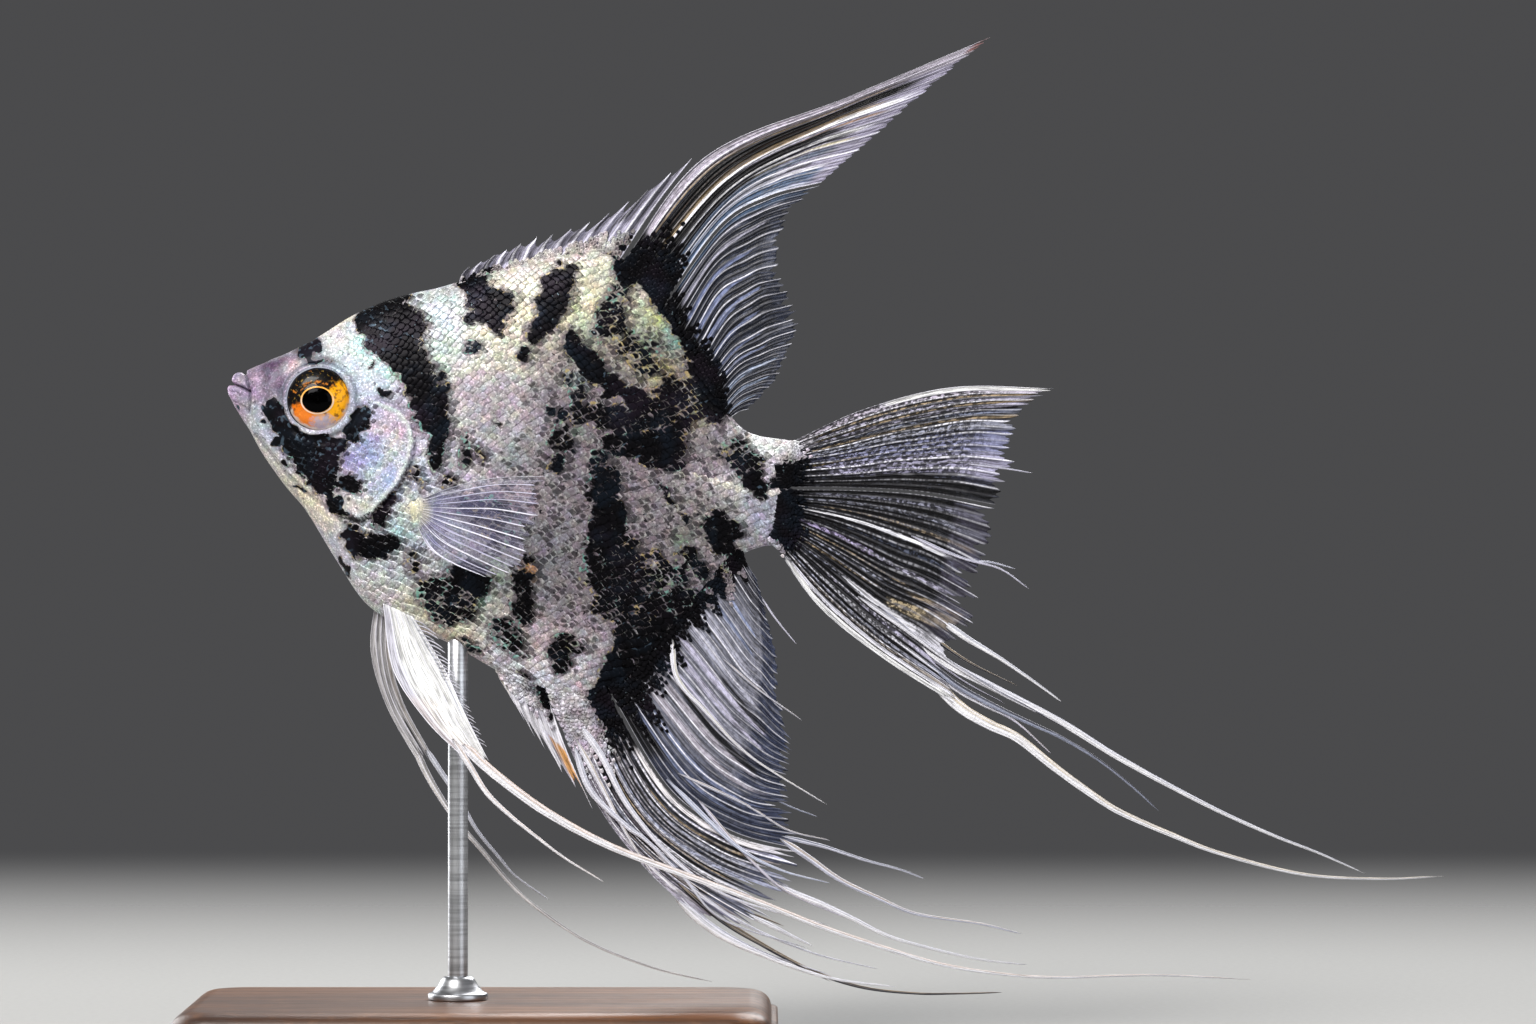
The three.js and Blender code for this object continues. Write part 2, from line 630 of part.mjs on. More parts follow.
function addFins(fish) {
  for (const [name, fin] of Object.entries(FINS)) {
    const place = (x, z, along, off) => new THREE.Vector3(x, acrossAt(fin.side, x, z, along) + off, z);
    fish.add(toMesh(name, finSolid(fin, place).subtract(BODY_CLEAR), fin.material));
  }
}

// A pectoral fin is made flat, in its own frame, and turned out from the flank at its root.
function addPectorals(fish) {
  const place = (x, z, along, off) => new THREE.Vector3(x / Math.cos(PECTORAL_ANGLE), off, z);
  for (const side of [-1, 1]) {
    const [x, y, z] = PECTORAL_ROOT;
    const socket = new THREE.Object3D();
    socket.position.set(x, side * y, z);
    socket.rotation.z = side * PECTORAL_ANGLE;
    socket.updateMatrix();
    const inPlace = finSolid(PECTORAL_FIN, (...at) => place(...at).applyMatrix4(socket.matrix));
    const name = `pectoral_fin_${side < 0 ? "left" : "right"}`;
    const fin = toMesh(name, inPlace.subtract(BODY_CLEAR), CLEAR_FIN, socket.matrix.clone().invert());
    fin.position.copy(socket.position);
    fin.rotation.copy(socket.rotation);
    fish.add(fin);
  }
}

// A streamer is a flat ribbon along its path that tapers to a thread.
function addStreamers(fish) {
  for (const [name, { path, width, side, drift = 0, material }] of Object.entries(STREAMERS)) {
    const steps = Math.round((path.length - 1) * 1.3);
    const rings = [];
    for (let s = 0; s <= steps; s += 1) {
      const t = s / steps;
      const [x, z] = pointAt(path, t);
      const [backX, backZ] = pointAt(path, Math.max(t - 0.01, 0));
      const [nextX, nextZ] = pointAt(path, Math.min(t + 0.01, 1));
      const length = Math.hypot(nextX - backX, nextZ - backZ);
      const half = lerp(width, STREAMER_THICKNESS, t) / 2;
      const over = [(-half * (nextZ - backZ)) / length, (half * (nextX - backX)) / length];
      const across = acrossAt(side, x, z, 1) + drift * t * t;
      const off = STREAMER_THICKNESS / 2;
      rings.push([[-1, -1], [1, -1], [1, 1], [-1, 1]].map(
        ([edge, face]) => new THREE.Vector3(x + edge * over[0], across + face * off, z + edge * over[1]),
      ));
    }
    fish.add(toMesh(name, toSolid(loft(rings)), material));
  }
}

// ---------------------------------------------------------------- display stand

function roundedRectangle(length, width, radius) {
  const shape = new THREE.Shape();
  const [x, y] = [length / 2 - radius, width / 2 - radius];
  shape.absarc(x, y, radius, 0, Math.PI / 2);
  shape.absarc(-x, y, radius, Math.PI / 2, Math.PI);
  shape.absarc(-x, -y, radius, Math.PI, 1.5 * Math.PI);
  shape.absarc(x, -y, radius, 1.5 * Math.PI, 2 * Math.PI);
  return shape;
}

function addStand(group) {
  const plan = roundedRectangle(BASE_LENGTH - 2 * BASE_BEVEL, BASE_WIDTH - 2 * BASE_BEVEL, BASE_CORNER);
  const base = new THREE.ExtrudeGeometry(plan, {
    depth: BASE_HEIGHT - 2 * BASE_BEVEL,
    curveSegments: 3,
    bevelSize: BASE_BEVEL,
    bevelThickness: BASE_BEVEL,
    bevelSegments: 2,
  });
  group.add(toMesh("stand_base", toSolid(base.translate(0, 0, BASE_BEVEL)), WALNUT));

  const [inner, outer] = [ROD_DIAMETER / 2 + GAP, FERRULE_DIAMETER / 2];
  const profile = [
    [inner, 0], [outer, 0], [outer, 1], [outer - 0.8, 1.6], [inner + 1, FERRULE_HEIGHT - 0.3],
    [inner + 0.7, FERRULE_HEIGHT], [inner, FERRULE_HEIGHT], [inner, 0],
  ];
  const ferrule = new THREE.LatheGeometry(profile.map(([r, h]) => new THREE.Vector2(r, h)), 16);
  ferrule.rotateX(Math.PI / 2).translate(ROD_X, 0, BASE_HEIGHT);
  group.add(toMesh("stand_ferrule", toSolid(ferrule), STEEL));
  group.add(toMesh("stand_rod", rodSolid(), STEEL));
}

const fish = new THREE.Group();
addTrunk(fish, addHead(fish));
addFins(fish);
addPectorals(fish);
addStreamers(fish);

const model = new THREE.Group();
model.add(fish);
addStand(model);

export default model;
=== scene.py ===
# %% [markdown]
# # A marble angelfish on a stand
#
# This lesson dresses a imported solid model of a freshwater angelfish. The solids say where every part is
# and how big it is. Here they get a skin, scales, eyes, fins with real rays, and the finish of the stand.
# The frame comes first, because every piece is placed by it. All its units are metres, +Z is up, the fish
# swims towards -X and its left side faces -Y.

# %% The frame
import json
import math

import bpy
import numpy as np
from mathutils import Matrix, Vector

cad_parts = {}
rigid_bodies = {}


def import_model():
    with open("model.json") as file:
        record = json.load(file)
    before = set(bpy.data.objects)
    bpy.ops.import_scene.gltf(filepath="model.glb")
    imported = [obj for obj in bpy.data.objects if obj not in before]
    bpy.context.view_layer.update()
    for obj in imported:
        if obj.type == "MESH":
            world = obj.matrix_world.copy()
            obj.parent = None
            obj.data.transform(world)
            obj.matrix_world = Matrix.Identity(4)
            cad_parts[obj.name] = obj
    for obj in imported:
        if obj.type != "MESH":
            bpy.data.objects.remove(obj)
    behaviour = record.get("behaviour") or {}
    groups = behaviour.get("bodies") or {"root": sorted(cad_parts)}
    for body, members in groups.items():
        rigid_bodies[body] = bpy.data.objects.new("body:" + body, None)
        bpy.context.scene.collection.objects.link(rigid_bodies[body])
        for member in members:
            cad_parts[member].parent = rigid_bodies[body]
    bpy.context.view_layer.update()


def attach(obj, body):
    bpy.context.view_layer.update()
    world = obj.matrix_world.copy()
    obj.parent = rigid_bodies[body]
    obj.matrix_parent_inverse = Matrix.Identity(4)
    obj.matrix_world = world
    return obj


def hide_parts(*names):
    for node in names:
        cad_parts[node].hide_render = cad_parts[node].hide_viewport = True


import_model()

MM = 0.001

# %% [markdown]
# A fish model is looked at from its side, so the camera stands level with the middle of the fish and far
# away. A long lens keeps the disc of the body true. The lens is worked out from the width that the view
# has to take in at the middle plane of the fish.

# %% The camera
VIEW_WIDTH = 230.4 * MM  # what the frame takes in at the fish's middle plane
VIEW_CENTRE = Vector((43.5 * MM, 0, 81.15 * MM))
CAMERA_DISTANCE = 0.9
SENSOR = 36

camera_data = bpy.data.cameras.new("camera")
camera_data.sensor_width = SENSOR
camera_data.lens = SENSOR * CAMERA_DISTANCE / VIEW_WIDTH
camera_data.clip_start = 0.01
camera = bpy.data.objects.new("camera", camera_data)
camera.location = VIEW_CENTRE - Vector((0, CAMERA_DISTANCE, 0))
camera.rotation_euler = (math.pi / 2, 0, 0)
bpy.context.scene.collection.objects.link(camera)
bpy.context.scene.camera = camera
print("lens:", round(camera_data.lens, 1), "mm")

# %% [markdown]
# Scales and wet skin are read from their highlights, so the light is soft and comes from large lamps: a
# key high on the left, a weak fill on the right and a lamp behind that draws a rim on the thin fins.
# A dark grey surround lets both the white rays and the black marks stand out.

# %% The lights
def lamp(name, place, aim, size, power, tint=(1, 1, 1)):
    """A square soft lamp at a place, turned to what it lights."""
    data = bpy.data.lights.new(name, "AREA")
    data.size = size
    data.energy = power
    data.color = tint
    light = bpy.data.objects.new(name, data)
    light.location = place
    light.rotation_euler = (Vector(aim) - Vector(place)).to_track_quat("-Z", "Y").to_euler()
    bpy.context.scene.collection.objects.link(light)


FISH_MIDDLE = (0.03, 0, 0.085)
lamp("key", (-0.4, -0.7, 0.8), FISH_MIDDLE, 0.55, 17.5, (1, 0.98, 0.95))
lamp("fill", (0.75, -0.7, 0.3), FISH_MIDDLE, 0.7, 3.2, (0.93, 0.96, 1))
lamp("back", (0.25, 0.7, 0.65), FISH_MIDDLE, 0.6, 9)
lamp("far_side", (-0.6, 0.6, 0.25), FISH_MIDDLE, 0.6, 5)

world = bpy.data.worlds.new("studio")
world.use_nodes = True
SURROUND = 0.07
world.node_tree.nodes["Background"].inputs["Color"].default_value = (SURROUND, SURROUND, SURROUND * 1.04, 1)
bpy.context.scene.world = world
bpy.context.scene.view_settings.view_transform = "Standard"  # colours come out as they are mixed
print("lamps:", len(bpy.data.lights))

# %% [markdown]
# Shader maths is easier to read as an expression than as a web of boxes. `Wire` stands for one socket and
# turns `+`, `*` or `**` into a Math node. `Finish` makes a material and adds any other node to it. Colours
# are mixed with a Mix node, because a Math node would turn them grey.

# %% Shader tools
def linear(red, green, blue):
    """A screen colour of 0 to 255 as the linear colour that a shader needs."""
    return tuple(((c / 255 + 0.055) / 1.055) ** 2.4 if c > 10 else c / 3294.6 for c in (red, green, blue))


class Wire:
    """One output socket of a finish, which Python's operators work on."""

    def __init__(self, finish, socket):
        self.finish = finish
        self.socket = socket

    def math(self, operation, *values):
        return self.finish.node("Math", {"operation": operation}, dict(enumerate(values)))

    def __add__(self, other): return self.math("ADD", self, other)
    def __radd__(self, other): return self.math("ADD", other, self)
    def __sub__(self, other): return self.math("SUBTRACT", self, other)
    def __rsub__(self, other): return self.math("SUBTRACT", other, self)
    def __mul__(self, other): return self.math("MULTIPLY", self, other)
    def __rmul__(self, other): return self.math("MULTIPLY", other, self)
    def __truediv__(self, other): return self.math("DIVIDE", self, other)
    def __rtruediv__(self, other): return self.math("DIVIDE", other, self)
    def __pow__(self, other): return self.math("POWER", self, other)

    def over(self, low, high):
        """0 below low and 1 above high, with a smooth rise between them."""
        places = {"Value": self, "From Min": low, "From Max": high}
        return self.finish.node("MapRange", {"interpolation_type": "SMOOTHSTEP"}, places)

    def most(self, other):
        """The larger of two."""
        return self.math("MAXIMUM", self, other)

    def size(self):
        """The value without its sign."""
        return self.math("ABSOLUTE", self)


class Finish:
    """A procedural material. What is the same all over is set on the shader's own sockets."""

    def __init__(self, name, **uniform):
        self.material = bpy.data.materials.new(name)
        self.material.use_nodes = True
        self.tree = self.material.node_tree
        self.shader = self.tree.nodes["Principled BSDF"]
        for key, value in uniform.items():
            self.shader.inputs[key.replace("_", " ").title().replace("Ior", "IOR")].default_value = value

    def node(self, kind, settings=None, sockets=None, out=0):
        """Adds a node of a kind: its settings come first, then the values or wires of its sockets."""
        node = self.tree.nodes.new("ShaderNode" + kind)
        for key, value in (settings or {}).items():
            setattr(node, key, value)
        for key, value in (sockets or {}).items():
            self.plug(value, node.inputs[key])
        return Wire(self, node.outputs[out])

    def plug(self, value, socket):
        """Joins a wire to a socket, or sets the socket to a number or colour."""
        if isinstance(value, Wire):
            self.tree.links.new(value.socket, socket)
        elif isinstance(value, tuple) and socket.type == "RGBA" and len(value) == 3:
            socket.default_value = (*value, 1)
        else:
            socket.default_value = value

    def mix(self, share, first, second, blend="MIX"):
        """Two colours mixed by a share of the second."""
        settings = {"data_type": "RGBA", "blend_type": blend}
        return self.node("Mix", settings, {0: share, 6: first, 7: second}, out=2)

    def noise(self, scale, detail=3, where=None, out=0, **more):
        """Noise of so many grains to a metre, or on other places. out=1 gives it as a colour."""
        where = where or self.place()
        sockets = {"Vector": where, "Scale": scale, "Detail": detail, **more}
        return self.node("TexNoise", None, sockets, out)

    def place(self):
        """Where a point of the surface is, in metres."""
        return self.node("TexCoord", out=3)

    def stretched(self, where, *scale):
        """The same places, drawn out or pressed together along each direction."""
        return self.node("Mapping", None, {"Vector": where, "Scale": scale})

    def attribute(self, name, out=2):
        """A number painted on the mesh, or with out=0 a colour."""
        return self.node("Attribute", {"attribute_name": name}, out=out)

    def bump(self, height, distance):
        """Small relief in the light only, so many metres deep."""
        return self.node("Bump", None, {"Height": height, "Distance": distance, "Strength": 1.0})

    def output(self, **wires):
        """Joins wires to the shader and gives the finished material."""
        for key, value in wires.items():
            self.plug(value, self.shader.inputs[key.replace("_", " ").title()])
        return self.material


print("shader tools ready")

# %% [markdown]
# The floor is a plain pale sheet. Its far edge melts into the grey surround, so that no horizon line cuts
# behind the fins.

# %% The floor
FLOOR_HALF = 1.6
FLOOR_EDGE = (0.1, 0.55)  # distances behind the fish between which the floor fades out

floor_mesh = bpy.data.meshes.new("floor")
corners = [(-FLOOR_HALF, -FLOOR_HALF, 0), (FLOOR_HALF, -FLOOR_HALF, 0), (FLOOR_HALF, FLOOR_HALF, 0)]
floor_mesh.from_pydata([*corners, (-FLOOR_HALF, FLOOR_HALF, 0)], [], [(0, 1, 2, 3)])
floor = bpy.data.objects.new("floor", floor_mesh)
bpy.context.scene.collection.objects.link(floor)
paper = Finish("floor_paper", roughness=0.9)
spread = paper.node("SeparateXYZ", None, {"Vector": paper.place()}, out=1)
grain = paper.noise(900, 2)
tone = paper.mix(grain, linear(152, 152, 151), linear(162, 162, 161))
paper.output(base_color=tone, alpha=1 - spread.over(*FLOOR_EDGE), normal=paper.bump(grain, 0.00003))
floor_mesh.materials.append(paper.material)
print("floor:", 2 * FLOOR_HALF, "m wide")

# %% [markdown]
# The body and the fins are both drawn by a few guide points with a smooth curve through them. These are
# the same two curves that shaped the solids: one gives a height for each place along the fish, the other
# runs through evenly spaced points. They work on whole arrays at once, which keeps dense meshes quick.

# %% Curves
def value_at(knots, x):
    """The value at each x of a smooth curve through (x, value) knots."""
    at, values = np.array(knots, float).T
    slopes = np.empty_like(values)
    slopes[1:-1] = (values[2:] - values[:-2]) / (at[2:] - at[:-2])
    slopes[0] = (values[1] - values[0]) / (at[1] - at[0])
    slopes[-1] = (values[-1] - values[-2]) / (at[-1] - at[-2])
    x = np.clip(x, at[0], at[-1])
    i = np.clip(np.searchsorted(at, x, side="right") - 1, 0, len(at) - 2)
    span = at[i + 1] - at[i]
    t = (x - at[i]) / span
    middle = values[i] + (values[i + 1] - values[i]) * t * t * (3 - 2 * t)
    return middle + span * t * (1 - t) * ((1 - t) * slopes[i] - t * slopes[i + 1])


def through(points, t):
    """Points at each t, from 0 to 1, of a smooth curve. The points may differ for each t."""
    last = len(points) - 1
    points = np.concatenate([2 * points[:1] - points[1:2], points, 2 * points[-1:] - points[-2:-1]])
    i = np.clip((t * last).astype(int), 0, last - 1)
    s = (t * last - i)[:, None]
    own = np.arange(len(t))
    a, b, c, d = (points[i + k, own] if points.ndim == 3 else points[i + k] for k in range(4))
    return b + 0.5 * s * (c - a + s * (2 * a - 5 * b + 4 * c - d + s * (3 * (b - c) + d - a)))


def ramp(value, low, high):
    """0 below low and 1 above high, with a smooth rise between them."""
    t = np.clip((value - low) / (high - low), 0, 1)
    return t * t * (3 - 2 * t)


def bell(distance, width):
    """1 at no distance, falling off on both sides like a bell."""
    return np.exp(-((distance / width) ** 2))


def turned(x, z, at_x, at_z, tilt):
    """How far each place is from another, along a line tilted by some degrees and square to it."""
    cos, sin = math.cos(math.radians(tilt)), math.sin(math.radians(tilt))
    return (x - at_x) * cos + (z - at_z) * sin, (z - at_z) * cos - (x - at_x) * sin


def wobble(x, z, size, seed):
    """Smooth wandering between about -1 and 1, with waves of a size. A seed always gives the same."""
    draw = np.random.default_rng(seed)
    total = np.zeros_like(x)
    for _ in range(6):
        turn, phase = draw.uniform(0, 2 * math.pi, 2)
        rate = 2 * math.pi / (size * draw.uniform(0.7, 1.5))
        total += np.sin(rate * (x * math.cos(turn) + z * math.sin(turn)) + phase)
    return total / 3


def off_line(points, x, z):
    """Distance from each place to a bent line."""
    best = np.full_like(x, 1e9)
    for (x0, z0), (x1, z1) in zip(points, points[1:]):
        run = (x1 - x0, z1 - z0)
        t = np.clip(((x - x0) * run[0] + (z - z0) * run[1]) / (run[0] ** 2 + run[1] ** 2), 0, 1)
        best = np.minimum(best, np.hypot(x - x0 - t * run[0], z - z0 - t * run[1]))
    return best


def inside(points, x, z):
    """True for each place inside a closed outline."""
    odd = np.zeros(x.shape, bool)
    for (x0, z0), (x1, z1) in zip(points, [*points[1:], points[0]]):
        if z0 != z1:
            odd ^= ((z0 > z) != (z1 > z)) & (x < x0 + (z - z0) * (x1 - x0) / (z1 - z0))
    return odd


print("curves ready")

# %% [markdown]
# Every piece becomes a mesh in the same way: points in millimetres, faces, numbers painted on the points
# for the finish to read, and a UV map called OFBake. The piece then rides on the fish and hides the
# solids that it stands for.

# %% Making a piece
def grid_faces(rows, columns, closed=False):
    """Quads over a grid of points, with the row and column of each corner."""
    across = columns if closed else columns - 1
    r, c = (k.ravel() for k in np.meshgrid(np.arange(rows - 1), np.arange(across), indexing="ij"))
    row = np.stack([r, r + 1, r + 1, r], 1)
    column = np.stack([c, c, c + 1, c + 1], 1)
    return row * columns + column % columns, row, column


def add_piece(name, points, faces, finish, slot, replaces=(), painted=None, maps=None):
    """Makes one visible piece. painted has a value for each point, maps a place for each corner."""
    mesh = bpy.data.meshes.new(name)
    mesh.from_pydata((np.asarray(points) * MM).tolist(), [], [list(map(int, face)) for face in faces])
    mesh.polygons.foreach_set("use_smooth", [True] * len(mesh.polygons))
    for key, values in (painted or {}).items():
        values = np.asarray(values, np.float32)
        if values.ndim == 2:
            values = np.concatenate([values, np.ones((len(values), 1), np.float32)], 1)
            mesh.attributes.new(key, "FLOAT_COLOR", "POINT").data.foreach_set("color", values.ravel())
        else:
            mesh.attributes.new(key, "FLOAT", "POINT").data.foreach_set("value", values)
    for key, corners_uv in (maps or {}).items():
        layer = mesh.uv_layers.new(name=key)
        layer.uv.foreach_set("vector", np.asarray(corners_uv, np.float32).ravel())
    mesh.materials.append(finish)
    mesh.validate()
    piece = bpy.data.objects.new(name, mesh)
    bpy.context.scene.collection.objects.link(piece)
    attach(piece, "root")
    if replaces:
        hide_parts(*replaces)
    triangles = sum(len(polygon.vertices) - 2 for polygon in mesh.polygons)
    print(f"{name}: {triangles} triangles")
    return piece


print("piece tools ready")

# %% [markdown]
# ## The body
#
# An angelfish is a tall thin disc. Its outline from the side, the line along which it is widest, and its
# width at each place are enough to draw it, and the sharpness of the section gives the keel of the back
# and belly. The solids part this body into head, jaws, gill covers, trunk and tail stalk. The skin is one
# closed surface over all of them, a little inside them, so that the scales fill the difference.

# %% The body's measures, in millimetres
BODY_HALF_WIDTH = 7.5
SKIN_DEPTH = 0.15  # how far the skin lies inside the solids, which the scales fill
SNOUT_X = -37.45
TAIL_ROOT_X = 46.8
BACK = [
    (SNOUT_X, 99.9), (-37.2, 100.25), (-36.95, 100.35), (-36.75, 100.9), (-36.5, 101.6), (-36.1, 102),
    (-35.5, 102.1), (-35.05, 102.1), (-34.6, 102.5), (-33.7, 102.95), (-31.9, 103.7), (-28.9, 105),
    (-24.1, 107.5), (-18.4, 111), (-12.4, 113.5), (-5.7, 115), (3.3, 117.8), (12.3, 120.1), (18.6, 120.7),
    (22.8, 118.6), (28.1, 112.2), (33.8, 103), (37.4, 96.4), (40.5, 93.3), (TAIL_ROOT_X, 92),
]
BELLY = [
    (SNOUT_X, 99.4), (-37.3, 98.9), (-37, 98.1), (-36.4, 96.8), (-35.2, 94.7), (-34.2, 93.2), (-32.4, 89.9),
    (-28.9, 84.9), (-25.8, 81.2), (-21.4, 74), (-16.9, 67.4), (-11.7, 64.1), (-5.1, 61.7), (2.7, 57.3),
    (10, 53.2), (15.3, 52.3), (21.3, 54.8), (26.6, 59.7), (33.3, 67.6), (38.5, 73.8), (43, 75.9),
    (TAIL_ROOT_X, 75.6),
]
WIDEST_LINE = [(SNOUT_X, 99.6), (-35.2, 98.4), (-20, 92.5), (0, 86.5), (20, 84.5), (TAIL_ROOT_X, 83.9)]
WIDTH_SHARE = [
    (SNOUT_X, 0.05), (-37.1, 0.15), (-36.2, 0.23), (-35.2, 0.29), (-34.4, 0.33), (-33, 0.40), (-31, 0.48),
    (-28, 0.59), (-24, 0.71), (-18, 0.85), (-11, 0.96), (-5, 1), (3, 0.98), (12, 0.88), (20, 0.73),
    (28, 0.55), (35, 0.4), (41, 0.28), (TAIL_ROOT_X, 0.16),
]
SHARPNESS = [(SNOUT_X, 0.85), (-33, 0.9), (-28, 1.1), (-20, 1.3), (TAIL_ROOT_X, 1.3)]

EYE = (-23.5, 97.9)  # middle of the eye, seen from the side
EYE_OUT = 3.75  # and out from the middle plane
EYE_RADIUS = 5.05
EYE_FLATNESS = 2.9 / EYE_RADIUS
print("body:", TAIL_ROOT_X - SNOUT_X, "mm long,", 2 * BODY_HALF_WIDTH, "mm thick")

# %% [markdown]
# The head is what people look at, so its folds are real shape. Each fold is a bent line with a width and
# a depth, each swelling a round hill. The gill cover is a closed outline whose inside stands proud, with
# a groove where its edge lies on the shoulder.

# %% The folds and swellings of the head: lines as (x, z), then width and depth
FOLDS = [
    ([(-37.6, 100.45), (-36.7, 100.35), (-35.5, 99.95), (-34.1, 99.2)], 0.2, 0.75),  # mouth
    ([(-34.95, 102.1), (-34.5, 100.9), (-34.1, 99.5), (-33.95, 98), (-34.1, 96.2)], 0.24, 0.4),  # lip fold
    ([(-31.9, 102.6), (-31.4, 101.2), (-31.8, 99.6), (-31.2, 98.6), (-31.6, 97.6)], 0.3, 0.22),
    ([(-37.1, 99.3), (-36.3, 99.1), (-35.4, 98.7)], 0.2, 0.18),
    ([(-36.2, 97.6), (-34.9, 96.9), (-34.1, 95.9)], 0.22, 0.16),
    ([(-33.2, 92.6), (-31.2, 90.2), (-28.6, 86.9), (-25.6, 83.9), (-22.7, 82), (-20, 81.1)], 0.28, 0.35),
    ([(-31.4, 94), (-29.8, 90.5), (-27.2, 87.4), (-24.6, 84.9), (-21.8, 83.6)], 0.5, 0.16),
    ([(-17, 96.8), (-18.1, 94.6), (-18.9, 92), (-20, 88.6), (-22, 85.8), (-24.4, 84.4)], 0.45, 0.28),
    ([(-29.3, 99.2), (-28.9, 96.2), (-27.3, 93.2), (-24.6, 91.4), (-20.9, 91.5), (-18.6, 93)], 0.4, 0.18),
    ([(-15.2, 96.3), (-14.2, 92.3), (-15.6, 88), (-18, 84.6)], 0.5, 0.08),
]
SWELLINGS = [  # x, z, radius, height
    (-36.1, 101.2, 0.9, 0.32), (-36.7, 99.2, 0.85, 0.3), (-35.6, 97.9, 1.1, 0.2), (-33.1, 100.9, 1.2, 0.34),
    (-32.9, 98.6, 1.0, 0.26), (-32.9, 96.6, 1.1, 0.22), (-30.2, 103.1, 1.3, 0.2), (-30.1, 97.4, 1.0, 0.2),
    (-27, 101.9, 1.5, 0.1), (-28.6, 94.6, 1.2, 0.16), (-26.2, 92.2, 1.4, 0.12), (-14.1, 85.5, 2.4, 0.2),
    (-9.6, 81.3, 1.9, 0.7),
]
NOSTRIL = (-27.9, 103.2)
GILL_COVER = [
    (-17.5, 98.2), (-14.4, 97.6), (-11.3, 96.3), (-9.6, 94.2), (-9.2, 91.7), (-9.6, 89.5), (-10.4, 87.3),
    (-11.9, 84.8), (-14.1, 82.4), (-15.9, 80.6), (-17.6, 80.1), (-20.1, 80.6), (-22.6, 82), (-24, 85),
    (-22, 90), (-19, 95),
]
GILL_MARGIN = GILL_COVER[1:12]
GILL_RIM = 1.7  # width of the pale bare strip along it
LATERAL_LINE = [
    [(-5, 100.4), (-1.6, 102.3), (3, 102.6), (9, 101.6), (14.5, 99.4)],
    [(28.5, 87.2), (33, 86.4), (40, 84.6), (45.5, 84)],
]
EYE_RIM, EYE_HOLLOW = 5.15, 5.95  # from the eye's middle to the swollen rim, and to the hollow round it
print("folds:", len(FOLDS), "swellings:", len(SWELLINGS))

# %% The relief
def from_eye(x, z):
    """Distance from the middle of the eye."""
    return np.hypot(x - EYE[0], z - EYE[1])


def gill_cover(x, z):
    """Distance from the free edge of the gill cover, and whether a place lies on the cover."""
    return off_line(GILL_MARGIN, x, z), inside(GILL_COVER, x, z)


def relief(x, z):
    """How far the skin stands out, or sinks in, at each place of the flank."""
    height = np.zeros_like(x)
    for line, width, depth in FOLDS:
        height -= depth * bell(off_line(line, x, z), width)
    for at_x, at_z, radius, rise in SWELLINGS:
        height += rise * bell(np.hypot(x - at_x, z - at_z), radius)
    edge, covered = gill_cover(x, z)
    on_cover = 0.4 * np.exp(-edge / 4) + 0.14 * bell(edge - 0.35, 0.3)
    height += np.where(covered, on_cover, -0.5 * bell(edge, 0.5))
    eye_away = from_eye(x, z)
    height += 0.34 * bell(eye_away - EYE_RIM, 0.38) - 0.14 * bell(eye_away - EYE_HOLLOW, 0.3)
    height -= 0.9 * (1 - ramp(eye_away, 4.3, 4.75))  # the pit that the eye sits in
    nostril_away = np.hypot(x - NOSTRIL[0], z - NOSTRIL[1])
    height += 0.13 * bell(nostril_away - 0.55, 0.2) - 0.4 * bell(nostril_away, 0.3)
    for line in LATERAL_LINE:
        height += 0.07 * bell(off_line(line, x, z), 0.25)
    return height


print("depth in the mouth:", relief(np.array([-36.0]), np.array([100.15])).round(2), "mm")

# %% [markdown]
# A place on the skin has two names: how far along the fish it is, and how far round the section. From
# these come its position and the direction that points straight out, along which the relief is added.
# The same function later sets every scale on the skin.

# %% The surface of the body
def section(x, angle):
    """Points of the smooth body. The angle runs from -90 degrees at the belly to 90 at the back."""
    middle = value_at(WIDEST_LINE, x)
    rise = np.sin(angle)
    reach = np.where(rise > 0, value_at(BACK, x) - middle, middle - value_at(BELLY, x)) - SKIN_DEPTH
    half = BODY_HALF_WIDTH * value_at(WIDTH_SHARE, x) - SKIN_DEPTH
    across = np.sign(np.cos(angle)) * np.abs(np.cos(angle)) ** value_at(SHARPNESS, x)
    return np.stack([x, half * across, middle + reach * rise], -1)


def surface(x, angle, lift=0.0):
    """Points of the skin with its relief, and the direction straight out of each."""
    step = 0.02
    low_x = np.clip(x - step, SNOUT_X + 1e-3, TAIL_ROOT_X)
    along = section(low_x + 2 * step, angle) - section(low_x, angle)
    around = section(x, angle + step) - section(x, angle - step)
    out = np.cross(around, along)
    out /= np.maximum(np.linalg.norm(out, axis=-1, keepdims=True), 1e-9)
    points = section(x, angle)
    height = relief(points[..., 0], points[..., 2]) + lift
    return points + out * height[..., None], out


def angle_at(x, z):
    """The angle round the section at which the body's side has a height."""
    middle = value_at(WIDEST_LINE, x)
    reach = np.where(z > middle, value_at(BACK, x) - middle, middle - value_at(BELLY, x)) - SKIN_DEPTH
    return np.arcsin(np.clip((z - middle) / reach, -0.9995, 0.9995))


print("half thickness at the gill:", section(np.array([-9.0]), np.array([0.0]))[0, 1].round(2), "mm")

# %% [markdown]
# ## The markings
#
# A marble angelfish is a silver fish with black blotches, as if ink had been spilt on it. Each blotch is
# one or a few soft ovals on the flank with a strength. Where the strength is high the skin is black all
# over. Where it is low only some scales carry a black spot. Skin and scales read the same markings, so
# they always agree. The other side of a real fish is never an exact mirror, so there the ovals wander.

